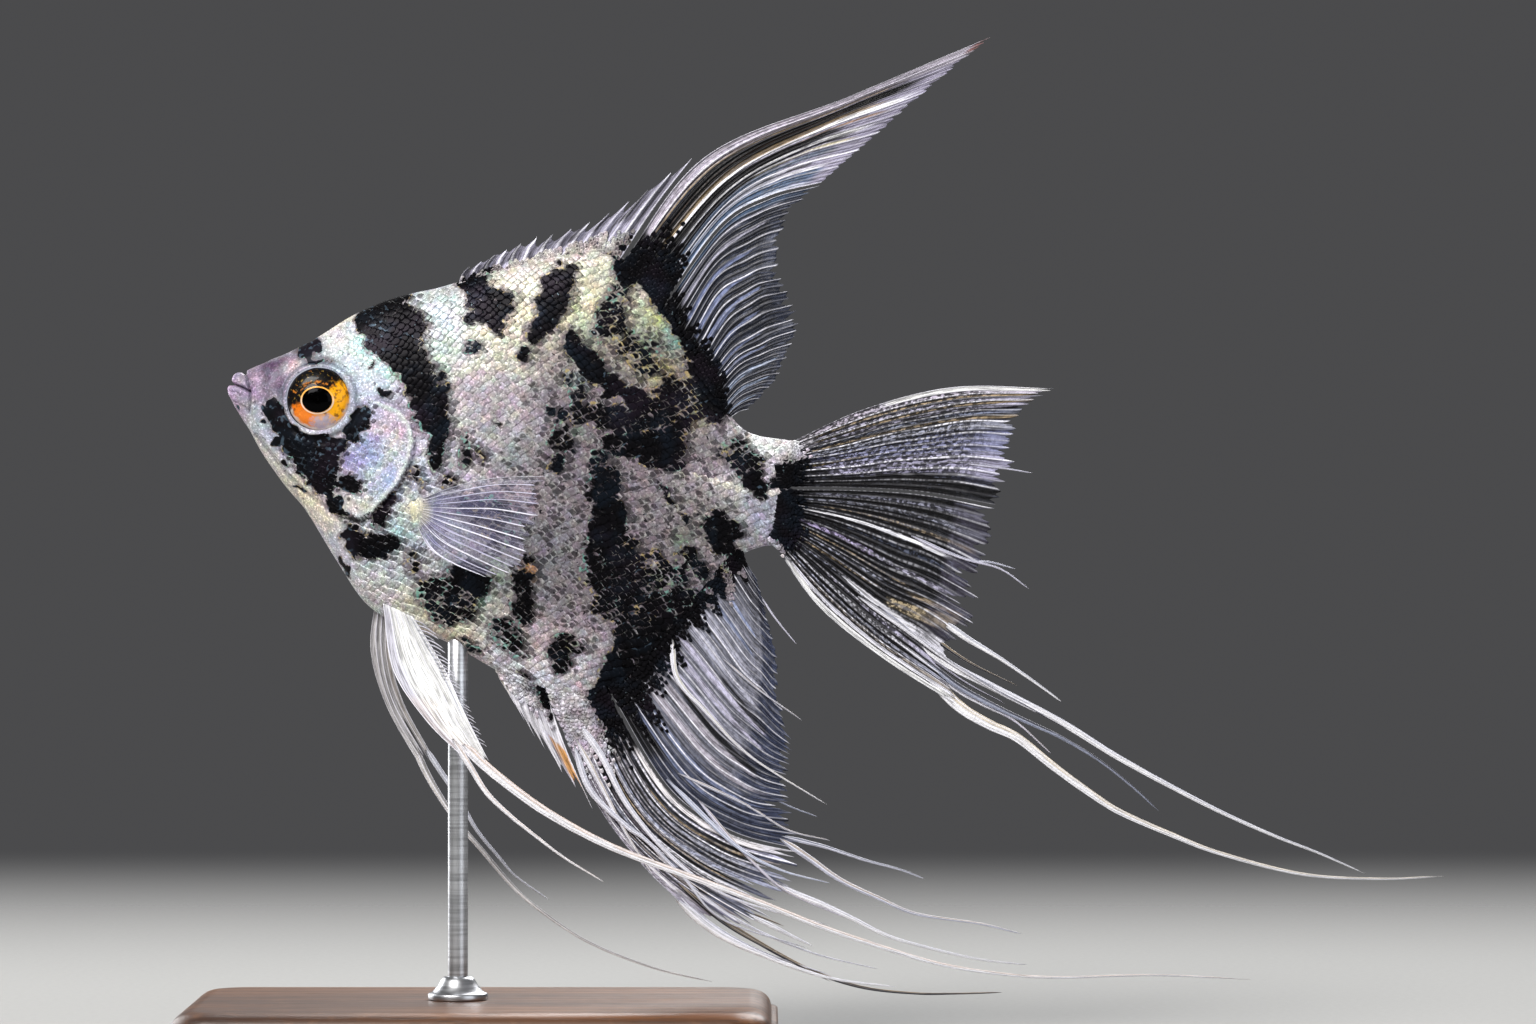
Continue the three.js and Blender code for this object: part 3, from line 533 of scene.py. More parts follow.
# %% Blotches: x, z, half length, half width, tilt in degrees, strength
BLOTCHES = [
    # nape and shoulder
    (-14.4, 106.8, 2.2, 1.9, -40, 1), (-16.6, 109.6, 1.6, 1.6, 20, 1), (-12.6, 104.2, 2, 1.2, -30, 1),
    (-14.4, 112.6, 3.7, 1.2, 20, 1), (-12.2, 109.7, 4, 2.4, -20, 1), (-11, 105.5, 3.2, 2, -50, 1),
    (-9.4, 102.5, 3.2, 2.2, -50, 1), (-8.2, 99.4, 2.8, 2, -80, 1), (-7.6, 96.2, 2.6, 1.6, -80, 1),
    (-6.6, 98.2, 3, 1.9, -60, 1), (-5.6, 94.4, 3.4, 1.1, -88, 1), (-6, 90.2, 2.6, 0.9, -90, 0.97),
    (-1.6, 90.6, 2.4, 0.8, -88, 0.8), (0.7, 89.8, 1.6, 0.7, -80, 0.62), (-4.2, 85.4, 1.2, 0.8, 0, 0.7),
    (-13.9, 99.1, 0.8, 0.7, 0, 1), (-5.1, 101.3, 0.6, 0.5, 0, 0.9), (-4.3, 99.8, 0.5, 0.5, 0, 0.9),
    (-15.5, 103.2, 0.3, 0.3, 0, 0.9), (-8.6, 86, 1.6, 0.7, -60, 0.8),
    # two saddles below the dorsal spines, and spots
    (-0.9, 115.6, 2, 1.6, -20, 1), (0.6, 112.9, 1.8, 1.9, 0, 1), (3.2, 112.2, 1.9, 1.9, 0, 1),
    (0, 110.3, 1.7, 0.9, 10, 0.97), (2.6, 109.4, 1.9, 1.1, -60, 0.97), (-0.6, 105.9, 1.2, 0.9, 0, 0.84),
    (12, 115.1, 2.3, 2, 50, 1), (11.2, 112.5, 2.4, 2.1, 60, 1), (10.4, 109.9, 2.1, 1.6, 60, 1),
    (9, 108.3, 1.7, 1.3, 50, 0.95), (14.3, 117.8, 0.75, 0.7, 0, 1), (12.3, 118.4, 0.6, 0.5, 0, 0.95),
    (7, 104.4, 1, 0.7, -80, 0.95), (15.6, 120, 0.35, 0.35, 0, 0.95), (2.8, 120, 0.4, 0.3, 0, 0.9),
    # foot of the dorsal plume and of the dorsal sail
    (23.8, 121.4, 2.6, 1.9, 55, 1), (22.8, 117.7, 2.3, 2.1, 60, 1), (25.9, 116.2, 2.2, 1.6, -50, 1),
    (28.2, 112.9, 2.4, 1.8, -60, 1), (30.6, 109.9, 2.5, 1.9, -60, 1), (32.6, 107, 2.9, 1.9, -60, 1),
    (33.9, 103.4, 3.3, 2, -75, 1), (34.9, 99.8, 3.2, 1.8, -80, 1), (35.3, 97, 2.2, 1.5, -80, 0.95),
    (31.6, 97.3, 2.4, 1.7, -70, 0.75), (31.6, 101, 2.2, 1.2, -80, 0.72),
    # dotted fields between
    (19.2, 110.8, 2.4, 1.2, 80, 0.72), (20.9, 112.8, 2.4, 1.3, 80, 0.66), (21.2, 109.4, 2.3, 1.1, 80, 0.74),
    (18.6, 108.2, 1.7, 1.1, 80, 0.8), (22.8, 105.9, 2, 1.6, 90, 0.62), (24.4, 103.8, 2.6, 1.3, -75, 0.7),
    (26.4, 104.6, 2.4, 1.1, -75, 0.6), (14.4, 105.9, 2.5, 0.9, -75, 0.97), (15.9, 104.2, 1.9, 1.4, -50, 0.97),
    (17.5, 102.2, 2.1, 1.6, -50, 0.97), (13.6, 101, 1.2, 0.7, -70, 0.7), (20.6, 99.8, 2.1, 1.4, -30, 0.97),
    (23.3, 98.4, 2.4, 1.3, -30, 0.97), (15.1, 97.4, 2.9, 0.9, 85, 0.82), (17.7, 95.4, 2, 1.5, 0, 0.78),
    (22, 94.9, 3.4, 2, -10, 0.84), (26.2, 95.8, 2.7, 2.2, 0, 0.84), (28.9, 98.6, 2.6, 1.9, -80, 0.88),
    (29, 94.4, 2.6, 2.3, 0, 0.84), (26.4, 91, 4.2, 2, -8, 0.97), (21.8, 91.4, 2.8, 1.7, 0, 0.88),
    (27.2, 88.7, 3.4, 1, -10, 0.9), (12.5, 93.8, 2, 0.8, 75, 0.88), (13, 91.5, 1.4, 1, -50, 0.85),
    (11.9, 88.5, 1.2, 1.1, 0, 0.95), (11.1, 91.2, 0.8, 0.7, 0, 0.85), (11.1, 96.4, 0.7, 0.5, -40, 0.95),
    (2.9, 94.2, 0.3, 0.3, 0, 0.9), (23.1, 97.2, 13, 10.5, -30, 0.28),
    # the dark band down to the anal fin
    (17.9, 88, 2.4, 1.2, 80, 0.84), (19.1, 84.2, 3.2, 2, 80, 0.95), (19.6, 79.4, 3.8, 2.4, 85, 0.97),
    (20, 75, 3.6, 3.4, 85, 0.9), (21, 71.3, 4.6, 3, -8, 0.86), (25.2, 72.8, 3, 2.2, 10, 0.7),
    (29, 71.4, 2.6, 2, -30, 0.7), (22.4, 67.2, 4.4, 2.5, 0, 0.84), (26.8, 66.4, 4.4, 2.4, -10, 0.78),
    (30.2, 67.4, 2.6, 2, 40, 0.8), (24.4, 63.6, 3.4, 2.2, 10, 0.84), (27.5, 62.8, 3.2, 1.6, 70, 0.95),
    (23, 61, 2.6, 2.2, 35, 0.96), (21.2, 58.2, 2.6, 2, 50, 1), (19.6, 55.4, 2.4, 1.5, 65, 1),
    (18.4, 53, 2, 1.1, 70, 1), (28.9, 59, 2, 1.2, -50, 1), (19.5, 78, 16, 13, -15, 0.27),
    # foot of the anal sail, stalk
    (36.4, 78.3, 2.5, 1.8, -10, 1), (36.8, 75.8, 1.4, 1.1, 0, 0.95), (35.7, 80.9, 0.8, 0.5, 0, 0.95),
    (33.4, 72.2, 1.8, 0.9, -60, 0.88), (31.3, 74.6, 1.6, 1.2, 0, 0.78), (30.8, 79.8, 0.9, 0.8, 0, 0.7),
    (28.2, 84, 1.7, 0.5, -60, 0.9), (38.6, 89.8, 2.3, 2.1, -20, 0.72), (40.6, 88.2, 2, 2, -20, 0.8),
    (41.4, 85.6, 2, 1.1, -55, 1), (44.8, 86, 1.1, 0.7, 60, 0.9),
    # belly
    (-4.6, 68.2, 3.9, 2.6, -20, 0.8), (-0.9, 71.2, 2.8, 1.9, -15, 1), (-3.4, 65.9, 2.8, 1.4, 10, 0.8),
    (-7, 70.9, 1.3, 0.9, 0, 0.7), (-9.6, 73.6, 1.8, 1.2, -80, 0.6), (6.8, 70.4, 2.3, 1.2, 85, 0.95),
    (7, 67, 2.1, 1.5, 90, 0.93), (4.2, 63.2, 2.6, 1.7, -30, 0.72), (4.8, 61, 2.6, 1.2, -30, 0.62),
    (-1.4, 60.9, 2, 0.8, -25, 0.62), (6.6, 56.5, 1.3, 0.7, -20, 0.62), (13.1, 61.6, 1.7, 1.2, 0, 0.78),
    (12.2, 59.8, 1.9, 1.2, -50, 0.85), (12, 57.6, 1, 0.7, 0, 0.92), (15.2, 60.6, 0.7, 0.6, 0, 0.7),
    (2, 81.2, 4.4, 1.6, -10, 0.7), (2.8, 77.6, 3, 1.3, -20, 0.66), (7.6, 74.3, 0.8, 0.8, 0, 0.9),
    # cheek, gill cover and throat
    (-29.2, 95.2, 2.1, 1.5, -50, 0.9), (-27, 94.3, 2.4, 1.6, -30, 1), (-24.9, 90.9, 3.9, 2.3, -15, 1),
    (-24, 88.2, 3.2, 2.3, -35, 1), (-23.2, 85.9, 1.9, 1.6, -50, 1), (-21, 91, 1.5, 1.1, 0, 1),
    (-17.3, 94.5, 2.2, 1, 55, 1), (-18.6, 93.2, 1.2, 1, 30, 1), (-19.1, 85.1, 1.5, 1, -20, 1),
    (-21.3, 82.8, 1.3, 0.8, -35, 1), (-20.7, 81.3, 1.6, 0.4, -15, 0.97), (-23.9, 84.8, 0.8, 0.6, -40, 0.95),
    (-30.3, 97.2, 1.3, 0.7, -60, 1), (-28.6, 93.4, 2, 1.2, -50, 1), (-25.4, 92.2, 3, 1, -10, 1),
    (-18.4, 95, 1.6, 0.9, 50, 1), (-28.8, 88.4, 0.6, 0.35, -45, 0.95), (-26.4, 86.3, 0.7, 0.35, -45, 0.95),
    (-31.9, 94.8, 0.4, 0.35, 0, 0.9), (-31.2, 96.2, 0.9, 0.5, -60, 0.9), (-29.9, 91.4, 0.7, 0.5, -40, 0.9),
    (-26.5, 84.6, 0.7, 0.25, -35, 0.9), (-35.9, 97, 0.5, 0.25, -50, 0.85), (-12, 85.6, 1.7, 0.7, 55, 0.8),
    (-13.4, 83, 1.5, 0.9, 45, 0.9), (-14.2, 80.4, 1.6, 1, 50, 0.8), (-10.6, 88.2, 0.9, 0.5, 60, 0.9),
    (-18.3, 76.6, 2.2, 1.5, -60, 1), (-15.4, 75.8, 2.2, 1.6, 0, 1), (-13, 76.4, 1.2, 0.9, 0, 0.95),
    (-20.2, 73.4, 1.4, 0.5, -60, 0.9), (-24.9, 106.1, 1.5, 1.1, 30, 0.95), (-25.6, 104.7, 1.1, 0.6, -20, 0.9),
    (-23.5, 103.6, 1.8, 0.3, -6, 0.85),
]
print("blotches:", len(BLOTCHES))

# %% The marble
def marble(x, z, mirrored=False):
    """Strength of the black, from 0 to 1, at each place of the flank."""
    gill_edge, covered = gill_cover(x, z)
    gill_rim = covered & (gill_edge < GILL_RIM) & (x > -18.5)
    seed, far = (40, 1.7) if mirrored else (20, 0.0)
    moves = [0.42 * wobble(x, z, 2.6, seed + k) + far * wobble(x, z, 17, seed + 2 + k) for k in (0, 1)]
    x, z = x + moves[0], z + moves[1]
    field = np.zeros_like(x)
    for at_x, at_z, long, wide, tilt, strength in BLOTCHES:
        along, over = turned(x, z, at_x, at_z, tilt)
        reach = np.hypot(along / long, over / wide)
        field = np.maximum(field, strength * (1 - ramp(reach, 0.9, 1.62)))
    pores = 0.16 * wobble(x, z, 2.1, seed + 4) * ramp(field, 0.2, 0.6) * (1.5 - field)
    return np.clip(field + pores, 0, 1.05) * ramp(from_eye(x, z), 5.3, 5.7) * np.where(gill_rim, 0.1, 1)


print("black at the foot of the dark band:", marble(np.array([19.6]), np.array([55.4])).round(2))

# %% [markdown]
# Between the blotches the silver isn't one colour. The back is straw, the forehead blue-white, the flank
# a pinkish lavender, the belly cream. Each tint is a soft cloud of colour laid over the last.

# %% Tints: x, z, half length, half width, tilt, colour, share
SILVER = (196, 191, 199)
STRAW, FROST, ROSE, MIST = (222, 219, 190), (194, 206, 212), (194, 186, 192), (184, 194, 198)
MAUVE, LILAC, STEEL_BLUE, CREAM = (106, 88, 108), (192, 168, 200), (166, 180, 214), (226, 218, 190)
SMOKE, SAGE, BONE, PINK = (136, 124, 132), (170, 186, 140), (226, 222, 230), (212, 188, 196)
VIOLET, TEAL_GREY = (134, 120, 184), (126, 150, 148)
TINTS = [
    (8, 110, 26, 8, 15, STRAW, 0.85), (24, 104, 12, 7, -40, (212, 208, 164), 0.55),
    (-6, 110, 4.5, 8, 20, FROST, 0.95), (-1, 97, 10, 8, 0, ROSE, 0.85), (6, 90, 8, 5, 0, MIST, 0.6),
    (14, 96, 12, 8, 0, ROSE, 0.5), (20, 80, 16, 15, 0, SMOKE, 0.72), (22, 95, 12, 6, -20, SMOKE, 0.6),
    (33, 84, 10, 6, 0, ROSE, 0.7), (34, 80, 6, 4, 0, SAGE, 0.3), (9, 76, 7, 8, 0, MIST, 0.5),
    (6, 83, 6, 3, 0, PINK, 0.6), (-14, 73, 9, 8, 0, FROST, 0.8), (-10, 84, 3, 6, 0, FROST, 0.7),
    (-3, 64, 12, 3, -25, CREAM, 0.9), (3, 65, 6, 4, 0, SAGE, 0.35), (10, 63, 7, 5, 0, PINK, 0.5),
    (9, 55, 7, 4, 20, BONE, 0.9), (5, 59, 7, 2.2, -45, (226, 230, 240), 1),
    (-20, 104, 9, 7, 20, (178, 190, 196), 0.95), (-12, 97, 5, 5, 0, LILAC, 0.5),
    (-15, 101, 4, 4, 0, FROST, 0.7), (-14, 89, 5, 8, 20, STEEL_BLUE, 0.95), (-12, 93, 3, 3, 0, PINK, 0.5),
    (-18, 82, 4, 2, 0, CREAM, 0.5), (-11, 88, 1.2, 6, 28, BONE, 0.6), (-29, 90, 3, 7, 40, STEEL_BLUE, 0.5),
    (-31, 89, 1.4, 8, 38, CREAM, 0.4), (-25, 83, 6, 1.6, -45, CREAM, 0.8),
    (-34.6, 99.2, 4.4, 4, 0, (152, 132, 158), 1), (-37.6, 99.6, 1.4, 2.4, 20, LILAC, 0.8),
    (-33, 94.5, 1.6, 3, 30, MIST, 0.8), (-29.8, 100.6, 2.2, 3.2, 10, (92, 70, 98), 0.95),
    (-30.6, 103.1, 4, 1.3, 20, (84, 64, 90), 0.95), (-33, 101.2, 0.9, 1.2, 0, (168, 148, 172), 0.7),
    (-25, 105.4, 1.9, 1.9, 25, (40, 30, 44), 1.6), (-22.8, 103.9, 1.9, 0.6, -8, (50, 40, 56), 1),
    (-27.6, 103.1, 1, 0.9, 0, PINK, 0.8), (-30, 96.6, 1.2, 1, 0, FROST, 0.8),
    (-19, 88.4, 1.4, 1.2, 0, VIOLET, 0.7), (-16.6, 90.5, 3.4, 0.8, 35, VIOLET, 0.35),
    (-15.4, 86.6, 3.4, 0.8, 50, FROST, 0.8), (-14.6, 93.6, 3, 1, 0, PINK, 0.6),
    (-17.4, 97.2, 1, 1.6, 20, MAUVE, 0.35), (-13, 90, 0.7, 3, -20, STRAW, 0.4),
    (-20.8, 109.4, 3.6, 0.7, 27, CREAM, 0.8), (-21.4, 107.4, 3, 1.6, 27, (214, 212, 214), 0.9),
    (-17.2, 91.2, 1.8, 0.5, -30, (120, 132, 172), 0.6), (-25.8, 90.6, 1.2, 0.5, 10, TEAL_GREY, 0.6),
    (-20.4, 86.4, 0.8, 0.6, 0, TEAL_GREY, 0.5), (43, 91, 5, 2, 0, (236, 238, 238), 0.95),
    (43, 80, 4, 4, 0, (164, 170, 196), 0.6), (26, 108, 2.4, 3, -20, (120, 206, 186), 0.5),
    (25, 103, 1.8, 2.6, 0, (206, 204, 110), 0.6), (15.4, 108.6, 2, 3, 0, (196, 222, 190), 0.5),
    (-5.4, 104, 1.6, 3, 0, (170, 210, 190), 0.4), (-16, 104.6, 1.2, 3, 40, (160, 212, 206), 0.5),
    (32, 95.3, 2, 1.8, 0, (214, 190, 90), 0.8), (27.4, 111, 2, 3, -20, (226, 222, 136), 0.8),
    (27.7, 102, 1.8, 2.6, 0, (220, 206, 120), 0.8), (29.3, 107, 1.5, 1.6, 0, (110, 206, 190), 0.8),
    (33, 97.8, 1.1, 2, 0, (110, 200, 190), 0.7), (14.7, 101, 1.4, 1.1, 0, (120, 196, 190), 0.7),
    (15, 93, 1.2, 1.1, 0, (110, 170, 140), 0.7), (30.5, 76.6, 1.8, 1.4, 0, (110, 160, 120), 0.7),
    (0, 68.4, 1.4, 1.4, 0, (110, 176, 140), 0.7), (-9.8, 101.6, 1.2, 1.2, 0, (206, 204, 96), 0.8),
    (-12.6, 101.8, 1.1, 0.8, 0, (130, 206, 150), 0.7), (-17, 106, 0.6, 1.4, 0, (130, 206, 190), 0.6),
    (2, 72, 3, 2, 0, (170, 200, 150), 0.5), (-12, 78, 2, 2, 0, (150, 200, 196), 0.4),
    (-9, 81.4, 2, 2, 0, CREAM, 1), (5.6, 62.2, 0.75, 0.75, 0, (238, 240, 236), 1),
    (7.5, 72.4, 0.75, 0.95, 20, (236, 160, 24), 2.4),
]
print("tints:", len(TINTS))

# %% Laying the tints, and the painted shade and highlight
def lay(colour, paint, share):
    """A screen colour laid over others by its share at each place."""
    return colour * (1 - share[:, None]) + np.array(linear(*paint)) * share[:, None]


def tint(x, z):
    """Colour of the silver skin at each place, as a linear colour, with painted shade and highlight."""
    colour = np.tile(linear(*SILVER), (len(x), 1))
    shift = 0.4 * wobble(x, z, 3, 61)
    for at_x, at_z, long, wide, tilt, paint, share in TINTS:
        along, over = turned(x, z, at_x, at_z, tilt)
        soft = shift * (min(long, wide) > 1)
        reach = ((along + soft) / long) ** 2 + ((over - soft) / wide) ** 2
        colour = lay(colour, paint, np.minimum(share * np.exp(-0.9 * reach), 1))
    # painted shade: every fold of the head is darkened in the colour, as shade would lie in it
    for line, width, depth in FOLDS:
        colour = lay(colour, (36, 28, 44), min(1.6 * depth, 0.75) * bell(off_line(line, x, z), 0.8 * width))
    colour = lay(colour, (160, 166, 182), 0.8 * bell(from_eye(x, z) - 4.95, 0.22))
    # painted shade: a darker ring in the hollow round the eye
    colour = lay(colour, (96, 104, 116), 0.6 * bell(from_eye(x, z) - 5.75, 0.3))
    for line in LATERAL_LINE:
        colour = lay(colour, (238, 234, 220), 0.6 * bell(off_line(line, x, z), 0.45))
    edge, covered = gill_cover(x, z)
    # the gill cover's pale rim: partly its own colour, partly a painted highlight on its raised edge
    colour = lay(colour, (206, 214, 212), np.where(covered, 0.85 * bell(edge - 0.4, 0.4), 0))
    # painted shadow: a dark band behind the gill cover's free edge, where the flap shades the shoulder,
    # weaker towards the top
    painted_gill_shadow = 0.9 * (1 - ramp(edge, 0.4, 1.3)) * (1 - 0.75 * ramp(z, 86, 91))
    colour = lay(colour, (22, 20, 28), np.where(covered, 0, painted_gill_shadow))
    return np.clip(0.94 * colour**1.16, 0, 0.76)


print("tint of the forehead:", tint(np.array([-20.0]), np.array([104.0])).round(2))

# %% [markdown]
# ## The finish of skin and scales
#
# Fish silver is a mirror under a clear skin. It is neither paint nor bare metal: a little metallic, quite
# smooth, with green and blue sparks where it borders on black, which are painted glints, as are its fine
# glitter and the pale flecks in the black. Black lies in round spots in the middle of the scales first,
# then fills whole scales. The edges of blotches are ragged, so a fine noise moves the strength at which
# black begins.

# %% Skin finish
BLACK_SKIN = linear(13, 12, 15)
BLUE_BLACK = linear(22, 30, 40)
GREY_HEART = linear(92, 84, 90)
# the teal and gold of the painted iridescent glints
PAINTED_GLINT_TEAL = linear(96, 214, 190)
PAINTED_GLINT_GOLD = linear(214, 186, 70)


def skin_finish(name, scaled):
    """The finish of bare skin, or of the scales over it."""
    skin = Finish(name, ior=1.42, coat_roughness=0.18, specular_ior_level=0.16 if scaled else 0.08)
    strength = skin.attribute("marble")
    ground = skin.attribute("tint", out=0)
    coarse = skin.noise(650, 3)
    fine = skin.noise(2300, 2)
    rough_edge, fine_edge = (0.6, 0.35) if scaled else (0.95, 0.6)
    black_from, black_full = (0.78, 0.88) if scaled else (0.54, 0.7)
    ragged = strength + (coarse - 0.5) * rough_edge + (fine - 0.5) * fine_edge
    full = ragged.over(black_from, black_full)
    ground = skin.mix(strength.over(0.04, 0.4) * 0.55 + 0.04, ground, linear(104, 94, 100))
    ground = skin.mix(0.22, ground, skin.noise(620, 3, out=1), "OVERLAY")
    ground = skin.mix(strength.over(0.6, 0.86) * 0.62, ground, linear(76, 70, 76))
    hearts = (1 - fine.over(0.34, 0.54)) * (strength.over(0.05, 0.4) * 0.55 + 0.3)
    ground = skin.mix(hearts, ground, GREY_HEART)
    # painted glints: fine bright flecks added into the silver's colour
    glitter = skin.noise(3400, 2).over(0.5, 0.68) * (1 - strength.over(0.1, 0.4) * 0.5)
    ground = skin.mix(glitter, ground, ground, "ADD")
    speck = skin.noise(1700, 1, Distortion=0.6).over(0.69, 0.73) * strength.over(0.08, 0.3)
    if scaled:
        leaf = skin.node("SeparateXYZ", None, {"Vector": skin.node("UVMap", {"uv_map": "leaf"})})
        over = Wire(skin, leaf.socket.node.outputs[1])
        heart = (((leaf - 0.62) / 0.38) ** 2 + (over / 0.72) ** 2) ** 0.5 + (skin.noise(1250, 2) - 0.5) * 1.5
        smoke = (1 - heart.over(0.3, 1.1)) * (strength.over(0.08, 0.4) * 0.45 + 0.06)
        ground = skin.mix(smoke, ground, GREY_HEART)
        # a pale line at each scale's free edge: partly the scale's own pale edge, partly a painted highlight
        ground = skin.mix((leaf + (fine - 0.5) * 0.3).over(0.84, 1) * 0.28, ground, linear(248, 247, 244))
        fleck = heart.over(0.7, 1.15) * fine.over(0.46, 0.58) * (1 - strength.over(0.8, 0.97))
        spot = skin.attribute("spot")
        heart_black = (spot - heart).over(-0.2, 0.14) * (0.64 + strength.over(0.42, 0.62) * 0.36)
        black = (full * (1 - fleck * 0.85)).most(heart_black)
    else:
        black = full
        cloud = skin.noise(800, 2, Distortion=0.6).over(0.52, 0.62) * 0.3
        ground = skin.mix(cloud, ground, linear(112, 118, 134))
        ground = skin.mix(skin.noise(1450, 1).over(0.68, 0.73) * 0.7, ground, linear(70, 62, 80))
        cells = skin.noise(900, 1, Distortion=0.7).over(0.56, 0.64) * (1 - strength.over(0.96, 1.04) * 0.5)
    black = black.most(speck)
    # painted iridescent glints: teal and gold sparks in the colour where silver borders on black
    border = (strength + (coarse - 0.5) * 0.3).over(0.42, 0.56) * (1 - ragged.over(0.7, 0.9))
    sparks = skin.noise(1300, 2).over(0.5, 0.6)
    hue = skin.noise(160, 1).over(0.44, 0.58)
    ground = skin.mix(border * sparks * 0.32, ground, skin.mix(hue, PAINTED_GLINT_TEAL, PAINTED_GLINT_GOLD))
    ink = skin.mix(skin.noise(260, 2).over(0.45, 0.7) * 0.6, BLACK_SKIN, BLUE_BLACK)
    ink = skin.mix(skin.noise(140, 2).over(0.5, 0.75) * 0.3, ink, linear(44, 34, 48))
    if not scaled:
        ink = skin.mix(cells * 0.4, ink, linear(96, 116, 134))
    glint = skin.noise(1800, 1).over(0.73, 0.78) * (0.6 - strength.over(0.8, 1) * 0.3)
    ink = skin.mix(glint, ink, linear(140, 160, 170))
    height = fine * 0.5 + coarse
    return skin.output(
        base_color=skin.mix(black, ground, ink),
        roughness=0.4 + (coarse - 0.5) * 0.3 + black * 0.12,
        metallic=(0.14 if scaled else 0.05) + black * (0.7 if scaled else 0.4),
        coat_weight=(0.22 if scaled else 0.06) - black * (0.18 if scaled else 0.03),
        normal=skin.bump(height, 0.00006 if scaled else 0.00009),
    )


bare_finish = skin_finish("bare_skin", scaled=False)
scale_finish = skin_finish("scale_silver", scaled=True)
print("skin and scale finishes ready")

# %% [markdown]
# The skin could be sculpted, or made from a base mesh and a subdivision modifier. A grid of rings along
# the fish is exact here, because the solids were lofted in the same way. The rings are closer where the
# outline turns fast, at the lips, and the points on a ring are closer at the height of the face.
# Its OFBake map unrolls the body like a tube that is cut along the belly.

# %% The skin
STATIONS, AROUND = 300, 250  # rings along the body, and points on each
FACE_HEIGHT = 93  # of the middle of the face above the floor

fine_x = np.linspace(SNOUT_X, TAIL_ROOT_X, 6000)
rise = np.gradient(value_at(BACK, fine_x), fine_x)
fall = np.gradient(value_at(BELLY, fine_x), fine_x)
pace = np.sqrt(1 + 0.5 * rise**2 + 0.5 * fall**2) * (1 + 2.6 * (1 - ramp(fine_x, -14, -2)))
walked = np.concatenate([[0], np.cumsum(pace[1:] * np.diff(fine_x))])
station_x = np.interp(np.linspace(0, walked[-1], STATIONS), walked, fine_x)


def ring_angles(x):
    """Angles round one section, closer together at the height of the face."""
    angle = np.linspace(-math.pi / 2, 1.5 * math.pi, 1600)
    points = section(np.full_like(angle, x), angle)
    face = 1 + 1.3 * bell(points[:, 2] - FACE_HEIGHT, 8) * (1 - ramp(points[:, 0], -10, 0))
    steps = np.linalg.norm(np.diff(points, axis=0), axis=1) * face[1:]
    length = np.concatenate([[0], np.cumsum(steps)])
    return np.interp(np.linspace(0, length[-1], AROUND + 1), length, angle)


angles = np.stack([ring_angles(x) for x in station_x])
grid_x = np.repeat(station_x[:, None], AROUND, 1)
skin_points, _ = surface(grid_x, angles[:, :AROUND])
faces, row, column = grid_faces(STATIONS, AROUND, closed=True)
SHARE_AROUND = np.linspace(0, 1, AROUND + 1)
station_share = (station_x - SNOUT_X) / (TAIL_ROOT_X - SNOUT_X)


def skin_map(share_along, angle_share):
    """Where a place of the skin lies on its unrolled map."""
    return np.stack([0.01 + 0.98 * share_along, 0.01 + 0.98 * angle_share], -1)


flat = skin_points.reshape(-1, 3)
on_right = flat[:, 1] > 0
x, z = flat[:, 0], flat[:, 2]
strength = np.where(on_right, marble(x, z, True), marble(x, z))
close_to_keel = np.abs(flat[:, 1]) / 1.2
strength = np.where(close_to_keel < 1, marble(x, z), strength)
front_cap = list(range(AROUND))
back_cap = [(STATIONS - 1) * AROUND + k for k in reversed(range(AROUND))]
caps_uv = np.zeros((2 * AROUND, 2)) + 0.005
quads_uv = skin_map(station_share[row], SHARE_AROUND[column]).reshape(-1, 2)
FLESH = ("head", "upper_jaw", "lower_jaw", "gill_cover_left", "gill_cover_right", "trunk_front", "trunk_rear",
         "tail_stalk")
skin = add_piece(
    "skin", flat, [*faces[:, ::-1].tolist(), front_cap, back_cap], bare_finish, "flank_skin", FLESH,
    # the tint holds the skin's colour together with its painted shade and highlight
    {"marble": strength, "tint": tint(x, z)},
    {"OFBake": np.concatenate([quads_uv.reshape(-1, 4, 2)[:, ::-1].reshape(-1, 2), caps_uv])},
)

# %% [markdown]
# ## The scales
#
# Angelfish scales are small, a millimetre and a half across, and lie like roof tiles in staggered rows
# that follow the arched lateral line. Each is its own little closed plate: its root is sunk in the skin,
# its round free edge stands a hair above. They are laid out on the flank and dropped onto the skin's own
# surface, so that they bend with it. None grow on the lips, round the eye or on the forehead.

# %% The measures of the scales, in millimetres
ROW_PITCH = 1.22
COLUMN_PITCH = 0.72  # half the distance between two scales of one row
ROW_ARCH = [(SNOUT_X, 88), (-20, 93), (-6, 98), (4, 100), (14, 98.5), (30, 90), (TAIL_ROOT_X, 84)]
ROW_TILT = [(SNOUT_X, 25), (-20, 18), (-6, 8), (4, -2), (14, -8), (30, -14), (TAIL_ROOT_X, -8)]
SCALE_LENGTH, SCALE_WIDTH = 1.95, 1.5
SCALE_PATCH = (0.003, 0.0015)  # what a scale takes up on its OFBake map
BARE_ROUND_EYE, BARE_ROUND_SOCKET = 6.9, 2.1  # how far no scales grow from the eye and the pectoral fin
ALONG, OVER = np.meshgrid(np.linspace(0, 1, 6), np.linspace(-1, 1, 5), indexing="ij")
OUTLINE = np.sqrt(np.clip(1 - (np.clip(ALONG - 0.35, 0, 1) / 0.65) ** 2.6, 0, 1))
OUTLINE *= 0.75 + 0.25 * ramp(ALONG, 0, 0.4)
SCALE_P = ALONG * (1 - 0.12 * OVER**2 * ALONG)
SCALE_Q = OVER * np.maximum(OUTLINE, 0.34)
print("points on top of one scale:", ALONG.size)

